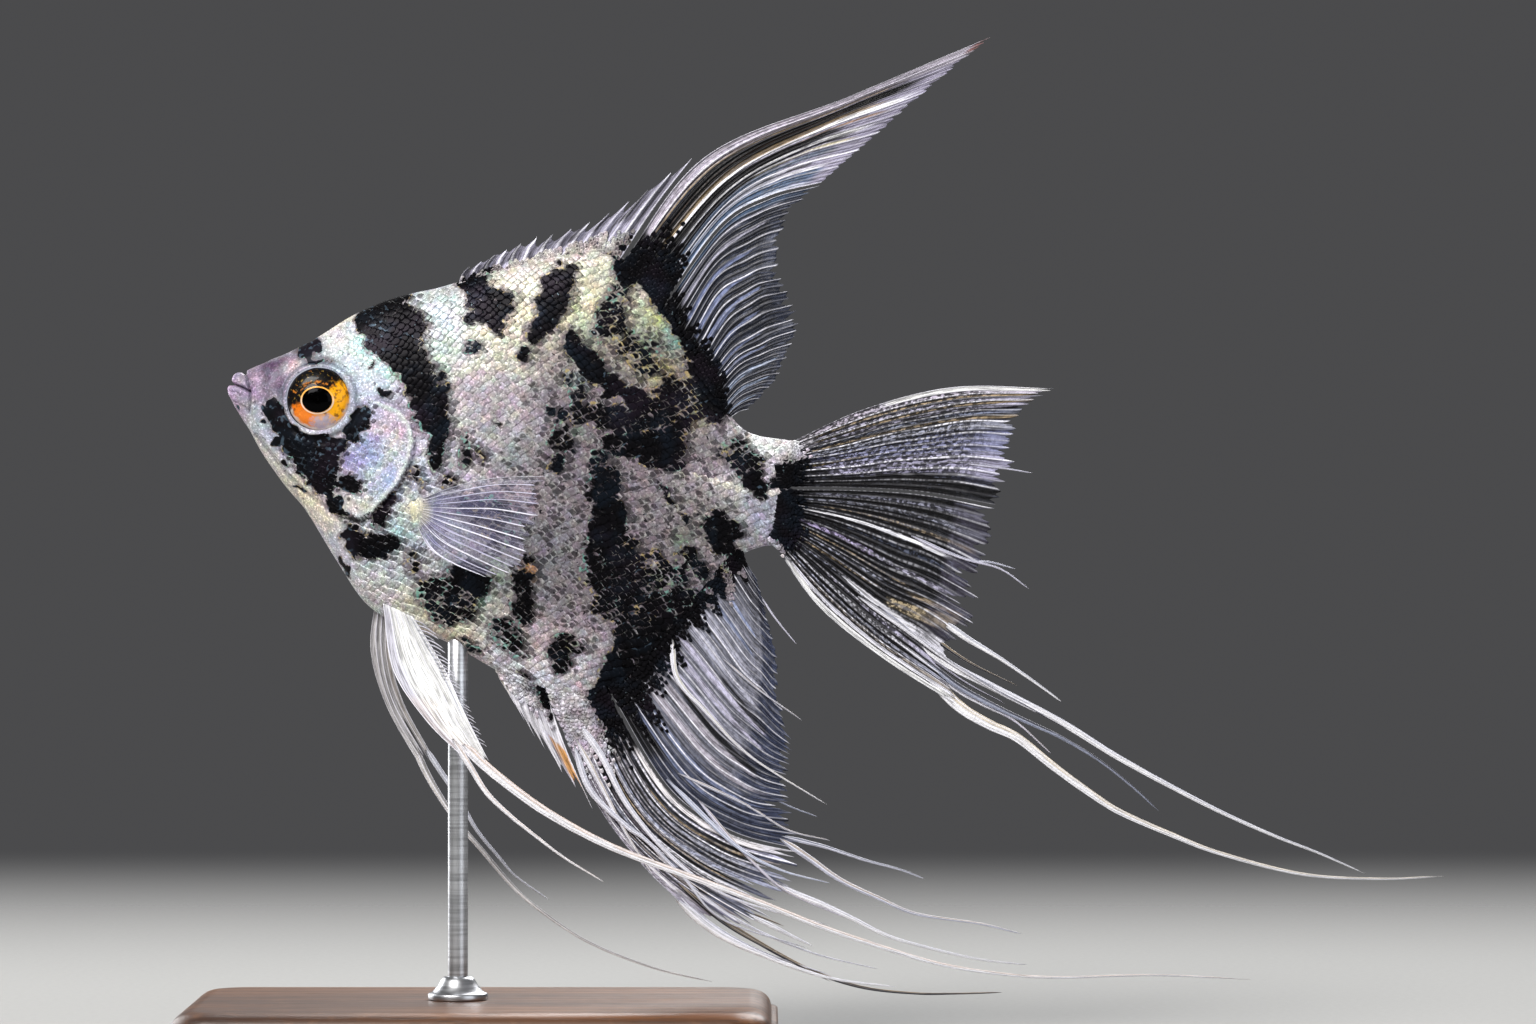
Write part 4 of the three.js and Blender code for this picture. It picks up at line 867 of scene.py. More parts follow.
# %% One closed plate
def outer_points(rows, columns):
    """The outer points of a grid, in order all the way round."""
    last = rows * columns
    return np.array([*range(columns), *range(2 * columns - 1, last, columns),
                     *range(last - 2, last - columns - 1, -1), *range(last - 2 * columns, 0, -columns)])


def plate_faces(rows, columns, fan):
    """Faces of one closed plate: its top, its wall, and a floor that is one face or a fan round a middle."""
    edge = outer_points(rows, columns)
    top, own = rows * columns, np.arange(len(edge))
    after = np.roll(own, -1)
    quads, _, _ = grid_faces(rows, columns)
    walls = np.stack([edge, edge[after], top + after, top + own], 1)
    floor = np.stack([top + own, top + after, np.full(len(edge), top + len(edge))], 1)[:, ::-1].tolist()
    return [*quads[:, ::-1].tolist(), *walls[:, ::-1].tolist(), *(floor if fan else [(top + own).tolist()])]


def copies(one, count, step):
    """The faces of many plates, from those of one."""
    return [[corner + k * step for corner in face] for k in range(count) for face in one]


print("faces of one scale:", len(plate_faces(*ALONG.shape, fan=True)))

# %% Where scales grow
def scale_places():
    """Roots of the scales on one side: x, z, size and how far the free edge stands off."""
    columns = np.arange(SNOUT_X, TAIL_ROOT_X, COLUMN_PITCH)
    rows = np.arange(-45, 45) * ROW_PITCH
    x = np.repeat(columns, len(rows))
    shift = np.repeat(np.arange(len(columns)) % 2, len(rows)) * ROW_PITCH / 2
    z = np.tile(rows, len(columns)) + shift + value_at(ROW_ARCH, x)
    draw = np.random.default_rng(5)
    x, z = x + 0.3 * wobble(x, z, 6, 71), z + 0.3 * wobble(x, z, 6, 72)
    x, z = x + draw.normal(0, 0.09, len(x)), z + draw.normal(0, 0.09, len(z))
    gill_edge, covered = gill_cover(x, z)
    behind_gill = inside([*GILL_MARGIN, (-14, 79), (0, 60), (60, 60), (60, 130), (-14, 130)], x, z)
    below = (x > -19) & (z < 80.3 + (x + 17) * 0.3) | (z < 66)
    trunk = ((x > -13.5) & (z > 96) | behind_gill | below) & ~covered
    nape = (z > 100.5 + (-x - 12) * 0.28) & (x > -21.5) & (x < -11)
    cheek = (x > -29) & (z > 83.5 - (x + 25)) & (z < 92.3) & (x < -16)
    keep = trunk | covered | nape | cheek
    keep &= (z > value_at(BELLY, x) + 0.5) & (z < value_at(BACK, x) - 0.45) & (x < TAIL_ROOT_X - 1.4)
    keep &= ~(covered & (gill_edge < GILL_RIM))
    keep &= (from_eye(x, z) > BARE_ROUND_EYE) & (np.hypot(x + 9.4, z - 81.3) > BARE_ROUND_SOCKET) & (x > -30)
    size = np.where(trunk, 1, np.where(nape, 0.82, 0.85)) * (1 - 0.12 * ramp(x, 30, 46))
    lift = np.where(trunk, 0.12, 0.06)
    return x[keep], z[keep], size[keep], lift[keep]


print("scales on a side:", len(scale_places()[0]))

# %% The scales of each side
def add_scales(side, name):
    """All scales of one side, -1 for the left and 1 for the right, in a front and a rear piece."""
    x, z, size, lift = scale_places()
    count = len(x)
    draw = np.random.default_rng(11 + side)
    turn = np.radians(value_at(ROW_TILT, x) + 26 * ramp(x, 8, 30) * ramp(z, 104, 118)
                      - 34 * ramp(x, 6, 26) * ramp(-z, -66, -56) + draw.normal(0, 5, count))
    size = size * draw.normal(1, 0.06, count)
    p = (SCALE_P[None] - 0.12) * SCALE_LENGTH * size[:, None, None]
    q = SCALE_Q[None] * SCALE_WIDTH / 2 * size[:, None, None]
    cos, sin = np.cos(turn)[:, None, None], np.sin(turn)[:, None, None]
    top_x = x[:, None, None] + p * cos - q * sin
    top_z = z[:, None, None] + p * sin + q * cos
    top_x = np.clip(top_x, SNOUT_X + 1, TAIL_ROOT_X)
    low, high = value_at(BELLY, top_x) + SKIN_DEPTH + 0.1, value_at(BACK, top_x) - SKIN_DEPTH - 0.1
    angle = angle_at(top_x, np.clip(top_z, low, high))
    angle = angle if side > 0 else math.pi - angle
    rise = -0.06 + (lift[:, None, None] + 0.06) * ALONG[None] ** 0.8 - 0.05 * OVER[None] ** 2
    top, _ = surface(top_x, angle, rise)
    under, _ = surface(top_x, angle, -0.22 + 0 * rise)
    rows, columns = ALONG.shape
    edge = outer_points(rows, columns)
    top, under = (sheet.reshape(count, rows * columns, 3) for sheet in (top, under))
    under = under[:, edge]
    points = np.concatenate([top, under, under.mean(1, keepdims=True)], 1)
    per_scale = points.shape[1]
    mirrored = side > 0
    one = [face[::-1] if mirrored else face for face in plate_faces(rows, columns, fan=True)]
    root_strength = marble(x, z, mirrored)
    cluster = 0.62 * wobble(x, z, 3.1, 33 + side)
    spot = root_strength * 1.75 + cluster - draw.uniform(0.15, 0.85, count)
    spot = np.where((root_strength > 0.07) & (spot > 0), np.clip(0.45 + 0.75 * spot, 0, 1.25), -1)
    # each scale takes the skin's colour near its root, painted shade included, and a random brightness
    shine = tint(x + 0.7, z) * draw.uniform(0.66, 1.08, (count, 1)) * draw.normal(1, 0.035, (count, 3))
    strength = marble(points[..., 0].ravel(), points[..., 2].ravel(), mirrored).reshape(count, per_scale)
    ring_share = np.interp(angle_at(x, z), (-math.pi / 2, math.pi / 2), (0.0, 0.5))
    ring_share = ring_share if side > 0 else 1 - ring_share
    home = skin_map((x - SNOUT_X) / (TAIL_ROOT_X - SNOUT_X), ring_share)
    local = np.stack([ALONG.ravel(), OVER.ravel()], -1)
    local = np.concatenate([local, local[edge], np.zeros((1, 2))])
    spots_uv = home[:, None] + (local - (0.5, 0)) * SCALE_PATCH
    leaves = local[None] + draw.normal(0, (0.06, 0.12), (count, 1, 2))
    for half, own in (("front", slice(0, count // 2)), ("rear", slice(count // 2, count))):
        faces = copies(one, len(x[own]), per_scale)
        corners = np.concatenate(faces)
        painted = {
            "marble": strength[own].ravel(), "tint": np.repeat(shine[own], per_scale, 0),
            "spot": np.repeat(spot[own], per_scale),
        }
        maps = {"OFBake": spots_uv[own].reshape(-1, 2)[corners], "leaf": leaves[own].reshape(-1, 2)[corners]}
        add_piece(f"{name}_{half}", points[own].reshape(-1, 3), faces, scale_finish, "flank_skin", (),
                  painted, maps)
    print(name, "in two halves, scales:", count)


add_scales(-1, "scales_left")
add_scales(1, "scales_right")

# %% [markdown]
# ## The eyes
#
# The eye of an angelfish is large, round and a little bulging. The iris is gold to orange below and behind
# the pupil and nearly black above it, like a cap, and a thin bright ring lines the pupil. A sphere with a
# picture on it would look flat. Here the ball is turned from a profile of its own: a domed lens in the
# pupil, a dished iris round it and a clear wet coat over all, with the iris drawn by its own radius.

# %% Eye finish
PUPIL = (-0.15, -0.1, 2.24, 1.86)  # middle, from the middle of the eye, and half sizes, in millimetres
EYE_RINGS, EYE_SECTORS = 44, 72


def eye_finish():
    eye = Finish("wet_eye", ior=1.4, coat_roughness=0.06, coat_ior=1.4, specular_ior_level=0.12)
    where = eye.place()
    across = eye.node("SeparateXYZ", None, {"Vector": where}, out=0) / MM - EYE[0]
    height = eye.node("SeparateXYZ", None, {"Vector": where}, out=2) / MM - EYE[1]
    rough = eye.noise(900, 3) - 0.5
    fine = eye.noise(2600, 2) - 0.5
    radius = (across * across + height * height) ** 0.5
    lens = (((across - PUPIL[0]) / PUPIL[2]) ** 2 + ((height - PUPIL[1]) / PUPIL[3]) ** 2) ** 0.5
    gold = eye.mix((across + rough * 3).over(-2, 2.4), linear(226, 116, 16), linear(240, 166, 16))
    mottle = eye.noise(1250, 2)
    gold = eye.mix(mottle.over(0.5, 0.64) * 0.8, gold, linear(112, 66, 22))
    ember = (1 - ((across + 2) ** 2 + (height + 2.9) ** 2 + rough * 6).over(0.4, 3.4)) * 0.9
    gold = eye.mix(ember, gold, linear(232, 126, 42))
    # painted reflection: a pale lilac patch low in the iris
    from_painted_reflection = (across - 0.6) ** 2 * 0.7 + (height + 3.4) ** 2 * 1.4 + (rough + fine) * 5
    painted_reflection = (1 - from_painted_reflection.over(0.2, 4.2)) * 0.9
    gold = eye.mix(painted_reflection, gold, linear(176, 168, 186))
    low_rim = (radius + rough * 1.2).over(4.0, 4.4) * (1 - (height + rough * 2).over(-1.6, 0.2))
    gold = eye.mix(low_rim * 0.85, gold, linear(208, 198, 190))
    cap = (height * 1.1 - across * 0.5 + rough * 3.2 + fine).over(0.35, 1.2)
    side_gold = (radius - 3.2 + rough * 2.4).over(0, 0.5) * (1 - (height + rough * 2).over(2.4, 3.2))
    cap = cap * (1 - side_gold * across.over(0.9, 2))
    arch = 1 - (lens - 1.42 + rough * 0.8).size().over(0.08, 0.26)
    arch = arch * height.over(0.6, 1.6)
    flecks = (mottle.over(0.5, 0.62) * arch).most(eye.noise(1700, 2).over(0.66, 0.72) * 0.7)
    dark = eye.mix(flecks, linear(12, 11, 12), linear(186, 112, 38))
    iris = eye.mix(cap, gold, dark)
    iris = eye.mix(fine.over(0.1, 0.2) * 0.2, iris, linear(255, 206, 90))
    ring = (1 - (lens - 1.07).size().over(0.025, 0.075)) * 0.95
    iris = eye.mix(ring, iris, eye.mix(height.over(-0.6, 1), linear(238, 214, 190), linear(248, 178, 84)))
    rim = (radius + rough * 0.25).over(4.4, 4.66)
    iris = eye.mix(rim, iris, linear(20, 20, 26))
    pale = (radius + rough * 0.1).over(4.74, 4.82)
    iris = eye.mix(pale, iris, linear(150, 154, 166))
    pupil = 1 - lens.over(0.98, 1.01)
    return eye.output(
        base_color=eye.mix(pupil, iris, linear(2, 2, 3)),
        roughness=0.34 - pupil * 0.2,
        metallic=(1 - pupil) * (1 - cap) * (1 - pale) * 0.1 + pupil * 0.8,
        coat_weight=0.26 - pupil * 0.2,
        normal=eye.bump(rough + fine * 0.6, 0.00008),
    )


eye_surface = eye_finish()
print("eye finish ready")

# %% The eyeballs
for side, name in ((-1, "left"), (1, "right")):
    bow = np.linspace(0, math.pi, EYE_RINGS + 1)[1:-1, None]
    spin = np.linspace(0, 2 * math.pi, EYE_SECTORS, endpoint=False)[None]
    out_x, out_z = np.sin(bow) * np.cos(spin) * EYE_RADIUS, np.sin(bow) * np.sin(spin) * EYE_RADIUS
    lens = np.hypot((out_x - PUPIL[0]) / PUPIL[2], (out_z - PUPIL[1]) / PUPIL[3])
    swell = 0.16 * (1 - ramp(lens, 0.75, 1.05)) - 0.12 * bell(lens - 1.3, 0.25)
    depth = np.cos(bow) * EYE_RADIUS * EYE_FLATNESS + swell * (np.cos(bow) > 0)
    ball = np.stack([EYE[0] + out_x, side * (EYE_OUT + depth - 0.12), EYE[1] + out_z], -1)
    faces, row, column = grid_faces(EYE_RINGS - 1, EYE_SECTORS, closed=True)
    poles = np.array([[EYE[0], side * (EYE_OUT + s * EYE_RADIUS * EYE_FLATNESS), EYE[1]] for s in (1.02, -1)])
    last = (EYE_RINGS - 2) * EYE_SECTORS
    sectors = range(EYE_SECTORS)
    top_fan = [(EYE_SECTORS * (EYE_RINGS - 1), (k + 1) % EYE_SECTORS, k) for k in sectors]
    end_fan = [(EYE_SECTORS * (EYE_RINGS - 1) + 1, last + k, last + (k + 1) % EYE_SECTORS) for k in sectors]
    faces = [*faces.tolist(), *top_fan, *end_fan]
    if side > 0:
        faces = [face[::-1] for face in faces]
    points = np.concatenate([ball.reshape(-1, 3), poles])
    flat_place = np.stack([points[:, 0] - EYE[0], points[:, 2] - EYE[1]], -1) / (2.1 * EYE_RADIUS)
    front = (side * points[:, 1] > EYE_OUT - 0.1)[:, None]
    eye_uv = np.where(front, flat_place * 0.5 + (0.26, 0.5), flat_place * 0.3 + (0.78, 0.5))
    corners = np.concatenate(faces)
    add_piece(f"eyeball_{name}", points, faces, eye_surface, "iris", (f"eye_{name}",), None,
              {"OFBake": eye_uv[corners]})

# %% [markdown]
# ## The fins
#
# A fin is a fan of bony rays with clear skin between them. Each ray is made of many short segments, which
# glitter like beads, and most rays split in two on their way out. The margin is ragged, because rays end
# at different lengths. A flat sheet with a painted texture would miss all that in its outline and in its
# shading. So every fin is a dense closed sheet whose thickness follows the rays, over the same guide rays
# as the solid, and whose far edge runs out along each ray and back in between two.

# %% Fin finish
RAY_WHITE = linear(244, 243, 254)


def fin_finish(name):
    """Clear skin and beaded rays, painted by the numbers on the mesh."""
    fin = Finish(name, ior=1.4, specular_ior_level=0.25, coat_roughness=0.2)
    ray = fin.attribute("ray")
    glow = fin.attribute("glow")
    ground = fin.attribute("tint", out=0)
    lie = fin.node("UVMap", {"uv_map": "lie"})

    def grain(across, along, detail, **more):
        """Noise in grains of a shape, laid out along the rays."""
        return fin.noise(1.0, detail, fin.stretched(lie, across, along, 1.0), **more)

    beads = grain(0.9, 2.6, 2).over(0.44, 0.58)
    cells = grain(2.8, 1.5, 3, Roughness=0.65)
    hair = grain(9.0, 0.35, 3)
    strand = grain(2.6, 0.12, 2)
    ground = fin.mix((hair - 0.46).over(0, 0.14) * 0.6, ground, linear(15, 15, 19))
    pale_line = (0.44 - hair).over(0, 0.1) * 0.3 * glow
    ground = fin.mix(pale_line, ground, linear(178, 184, 212))
    ground = fin.mix((strand - 0.54).over(0, 0.14) * 0.16 * glow, ground, linear(200, 204, 224))
    wide = (ray + (hair - 0.5) * 0.7).over(0.5, 0.95)
    crest = (ray + (hair - 0.5) * 0.35).over(0.76, 0.97)
    bead = fin.attribute("bead")
    ground = fin.mix(wide * (1 - beads) * bead, ground, linear(14, 13, 16))
    ground = fin.mix((cells + bead * 0.05).over(0.5, 0.55) * bead, ground, linear(12, 11, 14))
    lit = (crest * (1 - (1 - beads) * bead * 0.85)).most(wide * 0.2) * glow
    colour = fin.mix(lit, ground, RAY_WHITE)
    clear = fin.attribute("clear")
    height = ray * 0.7 + hair * 0.5 + beads * ray * 0.35
    return fin.output(
        base_color=colour,
        roughness=0.42 + (beads - 0.5) * 0.16,
        coat_weight=0.04 + lit * 0.2,
        alpha=clear + (1 - clear) * crest,
        normal=fin.bump(height, 0.00012),
    )


web_finish = fin_finish("fin_web")
print("fin finish ready")

# %% [markdown]
# The fish isn't quite flat. The tail swings to its right, the plume leans to its left, the pelvic fins
# spread, and the pectoral fins stand out from the flank.

# %% Colours of the fins and how they lie
INK, SOOT, SLATE, DUSK = (11, 10, 13), (34, 32, 38), (74, 80, 98), (108, 114, 134)
FOG, PEARL, SNOW, LACE = (150, 156, 178), (194, 196, 214), (244, 243, 252), (214, 210, 232)
SAND, HONEY, PEACH = (196, 176, 146), (188, 160, 84), (222, 186, 160)
UMBER, DENIM = (78, 58, 42), (92, 116, 146)
TAIL_SWING, PLUME_LEAN = 7, -3
PELVIC_ROOT, PELVIC_SPREAD = 1.6, 8
PECTORAL_ANGLE = math.radians(28)
PECTORAL_ROOT = (-8.3, 6.3, 81.4)
RAY_SEGMENT = 1.3  # a ray's beads are this many millimetres apart
ROOT_SWELLING = 0.09  # share of a fin's length over which its root is thicker
FIN_GUIDES = {}


def sway(x, z):
    """How far a middle fin stands to the fish's right: the tail swings and the plume leans."""
    behind, above = np.maximum(x - TAIL_ROOT_X, 0) / 100, np.maximum(z - 121, 0) / 31
    return TAIL_SWING * behind**2 + PLUME_LEAN * above**2


def across_at(side, x, z, along):
    """The same for any fin: side is -1 or 1 for a pelvic fin, which spreads on its way down."""
    if side:
        return side * (PELVIC_ROOT + (PELVIC_SPREAD - PELVIC_ROOT) * ramp(along, 0, 1))
    return sway(x, z)


def span(guides, u, v):
    """Points of the sheet across guide rays: u runs across the fan and v along the rays."""
    return through(np.stack([through(np.array(guide, float), v) for guide in guides]), u)


print("the tail's end stands", sway(np.array([145.0]), np.array([26.0])).round(1), "mm to the right")

# %% [markdown]
# A fin is painted by strokes that run from root to margin. A stroke says where it starts and ends across
# the fan and along it, how wide it is there, and what colour it lays down. Its edges are broken up along
# the rays, as the real stripes are. Both kinds of place run from 0 to 1.

# %% Strokes on a fin
def fan_paint(strokes, ground, u, v, seed):
    """Colours over a fin, as strokes laid one over the other, and how much of each ray they leave light."""
    colour = np.tile(linear(*ground), (len(u), 1))
    glow = np.ones(len(u))
    for number, (u0, v0, u1, v1, wide0, wide1, paint, share, ray_glow) in enumerate(strokes):
        t = (v - v0) / (v1 - v0)
        run = np.clip(t, 0, 1)
        half = wide0 + (wide1 - wide0) * run
        broken = 0.3 * wobble(u * 60, v * 9, 2.4, seed + number)
        broken += 0.25 * wobble(u * 160, v * 14, 2, seed + 50 + number)
        off = np.abs(u - u0 - (u1 - u0) * run) / half + 0.5 * broken * np.minimum(1, 0.05 / half)
        ends = ramp(t + 0.06 * broken, -0.05, 0.05) * (1 - ramp(t + 0.06 * broken, 0.93, 1.03))
        cover = share * ends * (1 - ramp(off, 0.75, 1.2))
        colour = lay(colour, paint, cover)
        glow = glow * (1 - cover) + ray_glow * cover
    return np.clip(1.02 * colour**1.18, 0, 0.9), glow


def lobes(places, colour, low, high, wide, light=1):
    """Leaf-shaped strokes: widest near the root, then drawn out to a line."""
    return [(u, low, u - 0.02, high, wide, wide / 5, colour, 0.85, light) for u in places]


print("a leaf-shaped stroke:", lobes((0.5,), SNOW, 0.1, 0.7, 0.02))

# %% [markdown]
# The sheet of a fin is a grid over its guide rays. A wave across the grid raises the rays, which fork on
# their way out, and the margin is drawn back between two ray ends.

# %% Building a fin
def add_fin(name, guides, rays, rows, strokes, slot, ground=SLATE, notch=0.1, jitter=0.05, thick=(0.5, 0.2),
            root=0.0, clear=0.85, split=True, side=0, ripple=0.25, seed=1, place=None, replaces=(), sharp=1.5,
            bead=0.8, gaps_dark=0.0):
    """A closed sheet with ridged rays over guide rays. Lengths are in millimetres."""
    FIN_GUIDES[name] = guides
    draw = np.random.default_rng(seed)
    per_ray = 16 if split else 12
    columns, rows = per_ray * (rays - 1) + 1, rows + 1
    u = np.linspace(0, 1, columns)[None].repeat(rows, 0)
    t = np.linspace(0, 1, rows)[:, None].repeat(columns, 1)
    sheet = span(guides, u.ravel(), t.ravel()).reshape(rows, columns, 2)
    gap = np.linalg.norm(np.diff(sheet, axis=1), axis=2).sum(1, keepdims=True) / (rays - 1)
    fork, twig = (ramp(gap, 0.8, 1.5), ramp(gap, 1.6, 2.4)) if split else (0, 0)
    drift = 0.16 * wobble(t * 20, u * 3, 9, seed)
    phase = u * (rays - 1) + drift * np.sin(math.pi * u)
    fineness = sharp * (1 + fork + twig)
    first = (0.5 + 0.5 * np.cos(2 * math.pi * phase)) ** fineness
    second = (0.5 - 0.5 * np.cos(2 * math.pi * phase)) ** fineness * fork
    fourth = (0.5 - 0.5 * np.cos(4 * math.pi * phase)) ** (sharp + 0.6) * twig
    ray = np.maximum(np.maximum(first, 0.86 * second), 0.78 * fourth)
    ray = 0.55 + (ray - 0.55) * ramp(gap, 0.12, 0.5)
    teeth = 2 if split else 1
    tooth = phase[-1] * teeth
    gaps, ends = np.floor(tooth).astype(int), np.round(tooth).astype(int)
    lengths = draw.uniform(-1, 0, teeth * rays + 3) ** 3 * jitter * 2
    depth = draw.uniform(0.25, 1.7, teeth * rays + 3) * notch
    reach = 1 + lengths[ends] - depth[gaps] * np.sqrt(2 * np.abs(tooth - ends)) + 0.01 * np.sin(tooth * 9)
    reach[[0, -1]] = 1
    reach = np.minimum(reach, 1)
    v = t * reach[None]
    flat_u, flat_v = u.ravel(), v.ravel()
    xz = span(guides, flat_u, flat_v)
    x, z = xz[:, 0], xz[:, 1]
    half = (thick[0] + (thick[1] - thick[0]) * t) * (0.4 + 0.6 * ray) * np.where(t > 0.985, 0.5, 1)
    half = (half + root * bell(t, ROOT_SWELLING)).ravel()
    wave = (ripple * np.sin(2 * math.pi * (2.2 * u + 0.3 * t) + seed) * t).ravel()
    middle = across_at(side, x, z, flat_v) + wave if place is None else wave
    sheets = [np.stack([x, middle + way * half, z], -1) for way in (-1, 1)]
    if place is not None:
        sheets = [place(sheet) for sheet in sheets]
    points = np.concatenate(sheets)
    quads, _, _ = grid_faces(rows, columns)
    count = rows * columns
    ring = outer_points(rows, columns)
    after = np.roll(ring, -1)
    walls = np.stack([ring, after, after + count, ring + count], 1)
    faces = np.concatenate([quads[:, ::-1], quads + count, walls[:, ::-1]])
    colour, glow = fan_paint(strokes, ground, flat_u, flat_v, 100 * seed)
    web_shade, ray_shade = draw.uniform(0.35, 1.25, (2, 2 * rays + 3))
    web, crest = np.floor(2 * phase + 1).astype(int).ravel(), np.round(2 * phase + 1).astype(int).ravel()
    colour = colour * (0.45 + 0.62 * web_shade[web][:, None])
    colour = colour * (1 - gaps_dark * ((1 - ray) * ramp(t, 0.35, 0.6)).ravel()[:, None])
    uneven = 1 - 0.25 * wobble(flat_v * 9, flat_u * 40, 3, seed) ** 2
    glow = glow * np.clip(ray_shade[crest], 0.4, 1.1) * uneven
    length = math.dist(guides[len(guides) // 2][0], guides[len(guides) // 2][-1])
    lie = np.stack([phase.ravel(), flat_v * length / RAY_SEGMENT], -1)
    unfolded = np.stack([0.01 + 0.47 * flat_u, 0.01 + 0.98 * t.ravel()], -1)
    unfolded = np.concatenate([unfolded, unfolded + (0.5, 0)])
    wall_uv = np.stack([unfolded[ring], unfolded[after], unfolded[after], unfolded[ring]], 1)[:, ::-1]
    bake = np.concatenate([unfolded[quads[:, ::-1]], unfolded[quads + count], wall_uv]).reshape(-1, 2)
    lie = np.concatenate([lie, lie])
    painted = {"tint": np.tile(colour, (2, 1)), "glow": np.tile(glow, 2), "ray": np.tile(ray.ravel(), 2),
               "bead": np.tile(bead * (1 - ramp(flat_v, 0.7, 1)) * (colour.max(1) < 0.84), 2),
               "clear": np.tile(np.full(count, clear) + (1 - clear) * np.exp(-flat_v / 0.12), 2)}
    maps = {"OFBake": bake, "lie": lie[faces].reshape(-1, 2)}
    return add_piece(name, points, faces, web_finish, slot, replaces, painted, maps)


# %% [markdown]
# The dorsal fin starts with stiff spines, short at the nape and longer towards the back. Their points show
# as a saw edge. Behind them the soft rays shoot up into the plume, and the last ones make a short sail.

# %% The dorsal fin
add_fin(
    "dorsal_spines", [
        [(-3, 113.5), (-2.6, 116.4), (-1.3, 118)], [(4.2, 115.5), (5.8, 119.4), (7.3, 121.9)],
        [(12.6, 117.5), (16, 122.4), (18.9, 125.7)], [(20.3, 117.5), (26.4, 126.8), (32.1, 134.2)],
    ], 14, 22, [
        (0.5, 0.55, 0.5, 1.1, 0.6, 0.6, LACE, 0.6, 1), (0.14, 0.3, 0.16, 1.05, 0.03, 0.012, INK, 0.9, 0.3),
        (0.3, 0.45, 0.31, 1.05, 0.02, 0.01, INK, 0.85, 0.3), (0.46, 0.5, 0.46, 1, 0.016, 0.01, INK, 0.8, 0.3),
        (0.6, 0.5, 0.6, 1, 0.02, 0.01, SOOT, 0.8, 0.3), (0.7, 0.55, 0.71, 1.02, 0.02, 0.01, INK, 0.8, 0.3),
        (0.84, 0.5, 0.86, 1, 0.02, 0.01, INK, 0.9, 0.3), (0.95, 0.3, 0.93, 1, 0.03, 0.02, SOOT, 0.6, 0.5),
        (0.02, 0.2, 0.02, 1.1, 0.04, 0.04, SOOT, 0.6, 0.4),
    ], "dark_fin", LACE, notch=0.24, jitter=0.03, root=0.35, split=False, clear=0.92, seed=2,
    replaces=("dorsal_fin_spines",), ripple=0.05, thick=(0.55, 0.3), bead=0.3, gaps_dark=0.7,
)
add_fin(
    "dorsal_plume", [
        [(20.7, 117), (34, 134.3), (55.8, 143.4), (76.8, 152.2)],
        [(23.1, 115.8), (36.4, 131.6), (53.5, 140.2), (69.9, 146.5)],
        [(25.1, 113.2), (36.6, 127.9), (48.3, 134.7), (60.1, 138)],
        [(26.7, 110.8), (36.1, 124), (43.5, 128.5), (51.6, 130.6)],
    ], 10, 90, [
        (0.5, 0.6, 0.5, 1.1, 0.6, 0.6, (190, 182, 204), 0.7, 1),
        (0.05, -0.1, 0.06, 1.1, 0.09, 0.14, (218, 210, 224), 1, 1),
        (0.13, 0.1, 0.17, 0.85, 0.012, 0.014, UMBER, 0.9, 0.3),
        (0.16, 0.1, 0.2, 0.8, 0.012, 0.012, SAND, 0.9, 0.9),
        (0.26, -0.1, 0.29, 0.92, 0.1, 0.06, INK, 1, 0.06),
        (0.27, 0.1, 0.3, 0.7, 0.006, 0.006, UMBER, 0.9, 0.4),
        (0.37, 0.06, 0.37, 0.8, 0.03, 0.02, (120, 100, 58), 0.95, 0.7),
        (0.41, 0.1, 0.4, 0.85, 0.018, 0.014, SAND, 0.9, 0.9),
        (0.46, 0.1, 0.45, 0.95, 0.026, 0.03, LACE, 0.9, 1), (0.5, 0.12, 0.49, 0.9, 0.01, 0.01, PEACH, 0.9, 1),
        (0.56, -0.1, 0.55, 0.78, 0.05, 0.02, INK, 1, 0.1), (0.6, 0.2, 0.58, 0.85, 0.01, 0.01, SNOW, 0.9, 1),
        (0.64, 0.1, 0.62, 0.85, 0.02, 0.012, INK, 1, 0.2),
        (0.68, 0.08, 0.66, 0.9, 0.016, 0.014, CREAM, 0.9, 1),
        (0.74, 0.1, 0.72, 0.85, 0.035, 0.024, (120, 136, 160), 0.9, 0.6),
        (0.79, 0.12, 0.78, 0.9, 0.012, 0.01, SNOW, 0.9, 1),
        (0.82, 0.16, 0.81, 0.8, 0.012, 0.01, INK, 0.9, 0.6),
        (0.85, 0.1, 0.85, 0.9, 0.012, 0.014, SNOW, 0.9, 1),
        (0.92, 0.12, 0.92, 0.9, 0.05, 0.05, DENIM, 0.9, 0.6),
        (0.98, 0.15, 0.98, 0.9, 0.014, 0.014, (214, 220, 236), 0.9, 1),
        (0.5, -0.1, 0.52, 0.74, 0.1, 0.025, INK, 1, 0.1), (0.44, 0.12, 0.43, 0.95, 0.02, 0.03, SNOW, 0.95, 1),
        (0.6, 0.16, 0.59, 0.92, 0.016, 0.02, SNOW, 0.95, 1),
        (0.7, -0.1, 0.66, 0.5, 0.06, 0.015, INK, 1, 0.15), (0.5, -0.1, 0.5, 0.12, 0.6, 0.6, INK, 1, 0.2),
        (0.02, 0.97, 0.02, 1.1, 0.1, 0.1, (190, 120, 104), 0.8, 0.3),
    ], "dark_fin", DUSK, notch=0.006, jitter=0.01, root=0.5, seed=3, replaces=("dorsal_fin_plume",),
    clear=0.95, bead=0.4,
)
